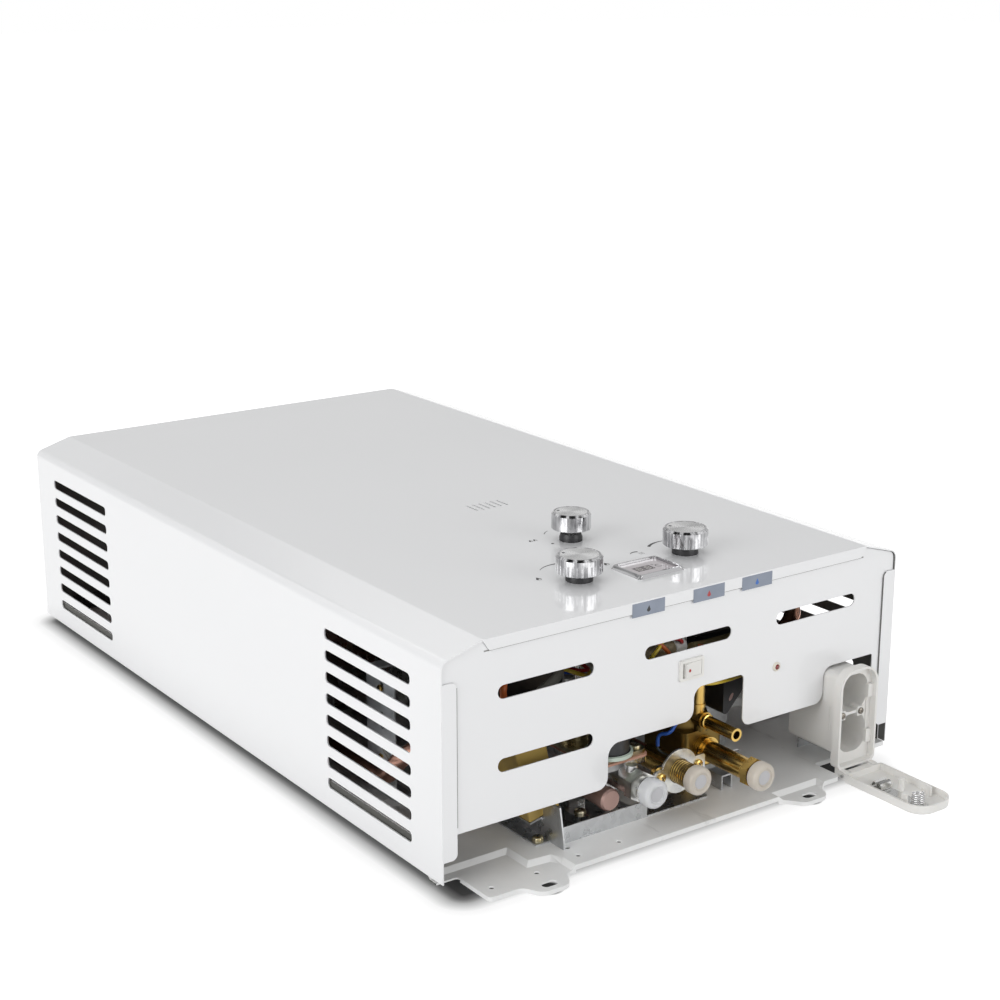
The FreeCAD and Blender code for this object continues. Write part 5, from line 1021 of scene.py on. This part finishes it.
# free leads: letter, colour, radius and points as (x, depth behind the end panel, z), in mm
LEADS = (
    ("a", "yellow", 1.4, ((-16, 26, 104), (-14, 22, 112), (-8, 20, 118), (-2, 24, 121), (6, 30, 120))),
    ("b", "orange", 1.5, ((-6, 24, 121), (-2, 20, 118), (3, 20, 111), (8, 24, 106))),
    ("c", "red", 1.3, ((10, 28, 120), (14.5, 21, 120), (17, 23, 117), (19, 30, 113))),
    ("d", "grey", 3.4, ((-112, 36, 90), (-102, 34, 103), (-90, 30, 110), (-79, 34, 115), (-72, 60, 117),
                        (-66, 97, 117))),
    ("e", "yellow", 1.4, ((-78, 40, 114), (-74, 31, 113), (-66, 29, 109), (-58, 31, 107), (-50, 44, 108),
                          (-48, 97, 108))),
    ("f", "red", 1.3, ((-74, 46, 112), (-68, 32, 112), (-61, 30, 111), (-54, 36, 110), (-52, 97, 110))),
    ("g", "blue", 1.3, ((-84, 50, 112), (-72, 38, 109), (-62, 38, 107), (-56, 60, 106), (-54, 97, 106))),
    ("i", "yellow", 1.5, ((22, 36, 86), (33, 21, 82), (48, 17, 82.5), (64, 19, 82), (80, 26, 79),
                          (86, 29.9, 78))),
    ("k", "olive", 4.2, ((26, 25, 110), (44, 27, 108), (62, 24, 110), (80, 27, 108.5), (97, 36, 110))),
    ("l", "orange", 1.2, ((28, 20, 113), (46, 19, 108), (64, 18, 111), (84, 20, 107), (96, 30, 108))),
    ("m", "yellow", 1.2, ((30, 21, 107), (50, 18, 112), (70, 19, 108), (92, 22, 112))),
    ("j", "grey", 1.2, ((-148, 146, 62), (-152, 138, 50), (-156, 150, 44), (-160, 128, 38), (-166, 96, 36))),
    ("h", "orange", 2.4, ((-124, 38, 90), (-131, 30, 106), (-133, 29, 114), (-128, 33, 118),
                          (-118, 50, 118), (-94, 97, 116))))


class HEATER_OT_electronics(bpy.types.Operator):
    """Controllers, igniter, brackets, wiring and a black strip under the flue panel painted as shade"""
    bl_idname = "heater.electronics"
    bl_label = "Electronics"

    def execute(self, context):
        resin = finish("potting resin", (0.52, 0.36, 0.10), rough=0.4, spread=0.08, mottle=0.1,
                       mottle_scale=40.0)
        skin("ignition_controller", resin, bevel=0.6)
        dress(galvanised(), 30, "controller_bracket")
        skin("control_module", black(), bevel=0.5)
        skin("igniter", black(), bevel=0.6)
        dress(finish("bracket zinc", (0.60, 0.63, 0.66), metallic=0.25, rough=0.4, mottle=0.3), 30,
              "side_bracket")
        lead = {}
        for name, color in (("red", (0.45, 0.02, 0.02)), ("yellow", (0.75, 0.55, 0.05)),
                            ("blue", (0.02, 0.10, 0.45)), ("white", (0.75, 0.75, 0.70))):
            lead[name] = finish("wire " + name, color, rough=0.35, mottle=0.05)
            dress(lead[name], 50, "wire_" + name)
        braid = finish("braided sleeve", (0.30, 0.25, 0.16), rough=0.8, mottle=0.35, mottle_scale=400.0,
                       grain=700.0, depth=0.0002, strength=0.8)
        tape = finish("cloth tape", (0.78, 0.78, 0.76), rough=0.7, mottle=0.08, grain=900.0, depth=0.0001,
                      strength=0.5)
        wire_tube("harness_sleeve", [(-50, NEAR + 97.6, 112), (-46, NEAR + 70, 114), (-32, NEAR + 36, 112),
                                     (-8, NEAR + 31, 112), (13, NEAR + 30, 112)], 5.0, braid)
        turned_piece("harness_tape",
                     [(0, 0), (5.2, 0), (5.7, 0.6), (5.6, 5), (5.75, 9), (5.2, 9.8), (0, 9.8)],
                     (12.0, NEAR + 30, 112), (1, 0, 0), tape, steps=32)
        lead["orange"] = finish("wire orange", (0.60, 0.14, 0.03), rough=0.35, mottle=0.05)
        lead["grey"] = finish("wire grey", (0.32, 0.31, 0.28), rough=0.6, mottle=0.15)
        lead["olive"] = finish("olive sleeve", (0.30, 0.235, 0.11), rough=0.55, mottle=0.4)
        for name, dye, r, points in LEADS:
            wire_tube("harness_lead_" + name, [(x, NEAR + run, z) for x, run, z in points], r, lead[dye])
        low, high = in_mm(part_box("side_bracket"))
        screws("bracket_screws", [
            (low.x, low.y + along * (high.y - low.y), low.z + up * (high.z - low.z), 2.8, 1.6, turn)
            for along, up, turn in ((0.2, 0.86, 10), (0.75, 0.78, 50), (0.2, 0.3, 70), (0.75, 0.2, 30))],
            (-1, 0, 0), brass(), black())
        # a black strip across the inside of the flue end: painted shade
        bm = bmesh.new()
        block(bm, (-186.0, 310.5, 2.6), (186.0, 311.5, 20.0))
        piece("flue_flashing", bm, black())
        # a leaning oval print on the igniter
        bm = bmesh.new()
        made = bmesh.ops.create_circle(bm, cap_ends=True, segments=28, radius=1.0)["verts"]
        bmesh.ops.scale(bm, vec=mm(1.5, 3.2, 1), verts=made)
        for turn, axis in ((math.radians(-32), "Z"), (math.pi / 2, "X")):
            bmesh.ops.rotate(bm, verts=made, cent=(0, 0, 0), matrix=Matrix.Rotation(turn, 3, axis))
        bmesh.ops.translate(bm, verts=made, vec=mm(69.5, NEAR + 29.94, 62.0))
        piece("igniter_spot", bm, finish("print pink", (0.42, 0.28, 0.27), rough=0.5, mottle=0.2))
        return {"FINISHED"}


class HEATER_OT_burner(bpy.types.Operator):
    """Burner, combustion chamber, heat exchanger and pipes"""
    bl_idname = "heater.burner"
    bl_label = "Burner and heat exchanger"

    def execute(self, context):
        dress(steel(), 30, "burner_tray", "burner_bars")
        dress(cast_alloy(), 30, "gas_manifold")
        dress(cast_alloy(), 40, "gas_link_pipe")
        dress(copper(), 30, "combustion_chamber", "heat_exchanger")
        dress(copper(), 40, "hot_pipe", "cold_pipe")
        dress(galvanised(), 30, "flue_hood")
        dress(finish("ceramic", (0.8, 0.78, 0.72), rough=0.25, mottle=0.03), 30, "electrodes")
        return {"FINISHED"}


STEPS = (HEATER_OT_stage, HEATER_OT_housing, HEATER_OT_knobs, HEATER_OT_display, HEATER_OT_marks,
         HEATER_OT_labels, HEATER_OT_switch, HEATER_OT_ports, HEATER_OT_valves, HEATER_OT_battery,
         HEATER_OT_electronics, HEATER_OT_burner)


class HEATER_PT_panel(bpy.types.Panel):
    """Lists the heater's settings and steps"""
    bl_idname = "HEATER_PT_panel"
    bl_label = "Gas Water Heater"
    bl_space_type = "VIEW_3D"
    bl_region_type = "UI"
    bl_category = "Heater"

    def draw(self, context):
        layout = self.layout
        for group in ("heater_finish", "heater_sizes", "heater_stage"):
            holder = getattr(context.scene, group)
            column = layout.column()
            for name in holder.__annotations__:
                column.prop(holder, name)
        for step in STEPS:
            layout.operator(step.bl_idname)


GROUPS = {"heater_finish": HeaterFinish, "heater_sizes": HeaterSizes, "heater_stage": HeaterStage}


def register():
    for cls in (*GROUPS.values(), *STEPS, HEATER_PT_panel):
        bpy.utils.register_class(cls)
    for name, cls in GROUPS.items():
        setattr(bpy.types.Scene, name, PointerProperty(type=cls))


def unregister():
    for name in GROUPS:
        delattr(bpy.types.Scene, name)
    for cls in reversed((*GROUPS.values(), *STEPS, HEATER_PT_panel)):
        bpy.utils.unregister_class(cls)


def main():
    register()
    for step in STEPS:
        group, name = step.bl_idname.split(".")
        getattr(getattr(bpy.ops, group), name)()
    bpy.context.view_layer.update()


if __name__ == "__main__":
    main()
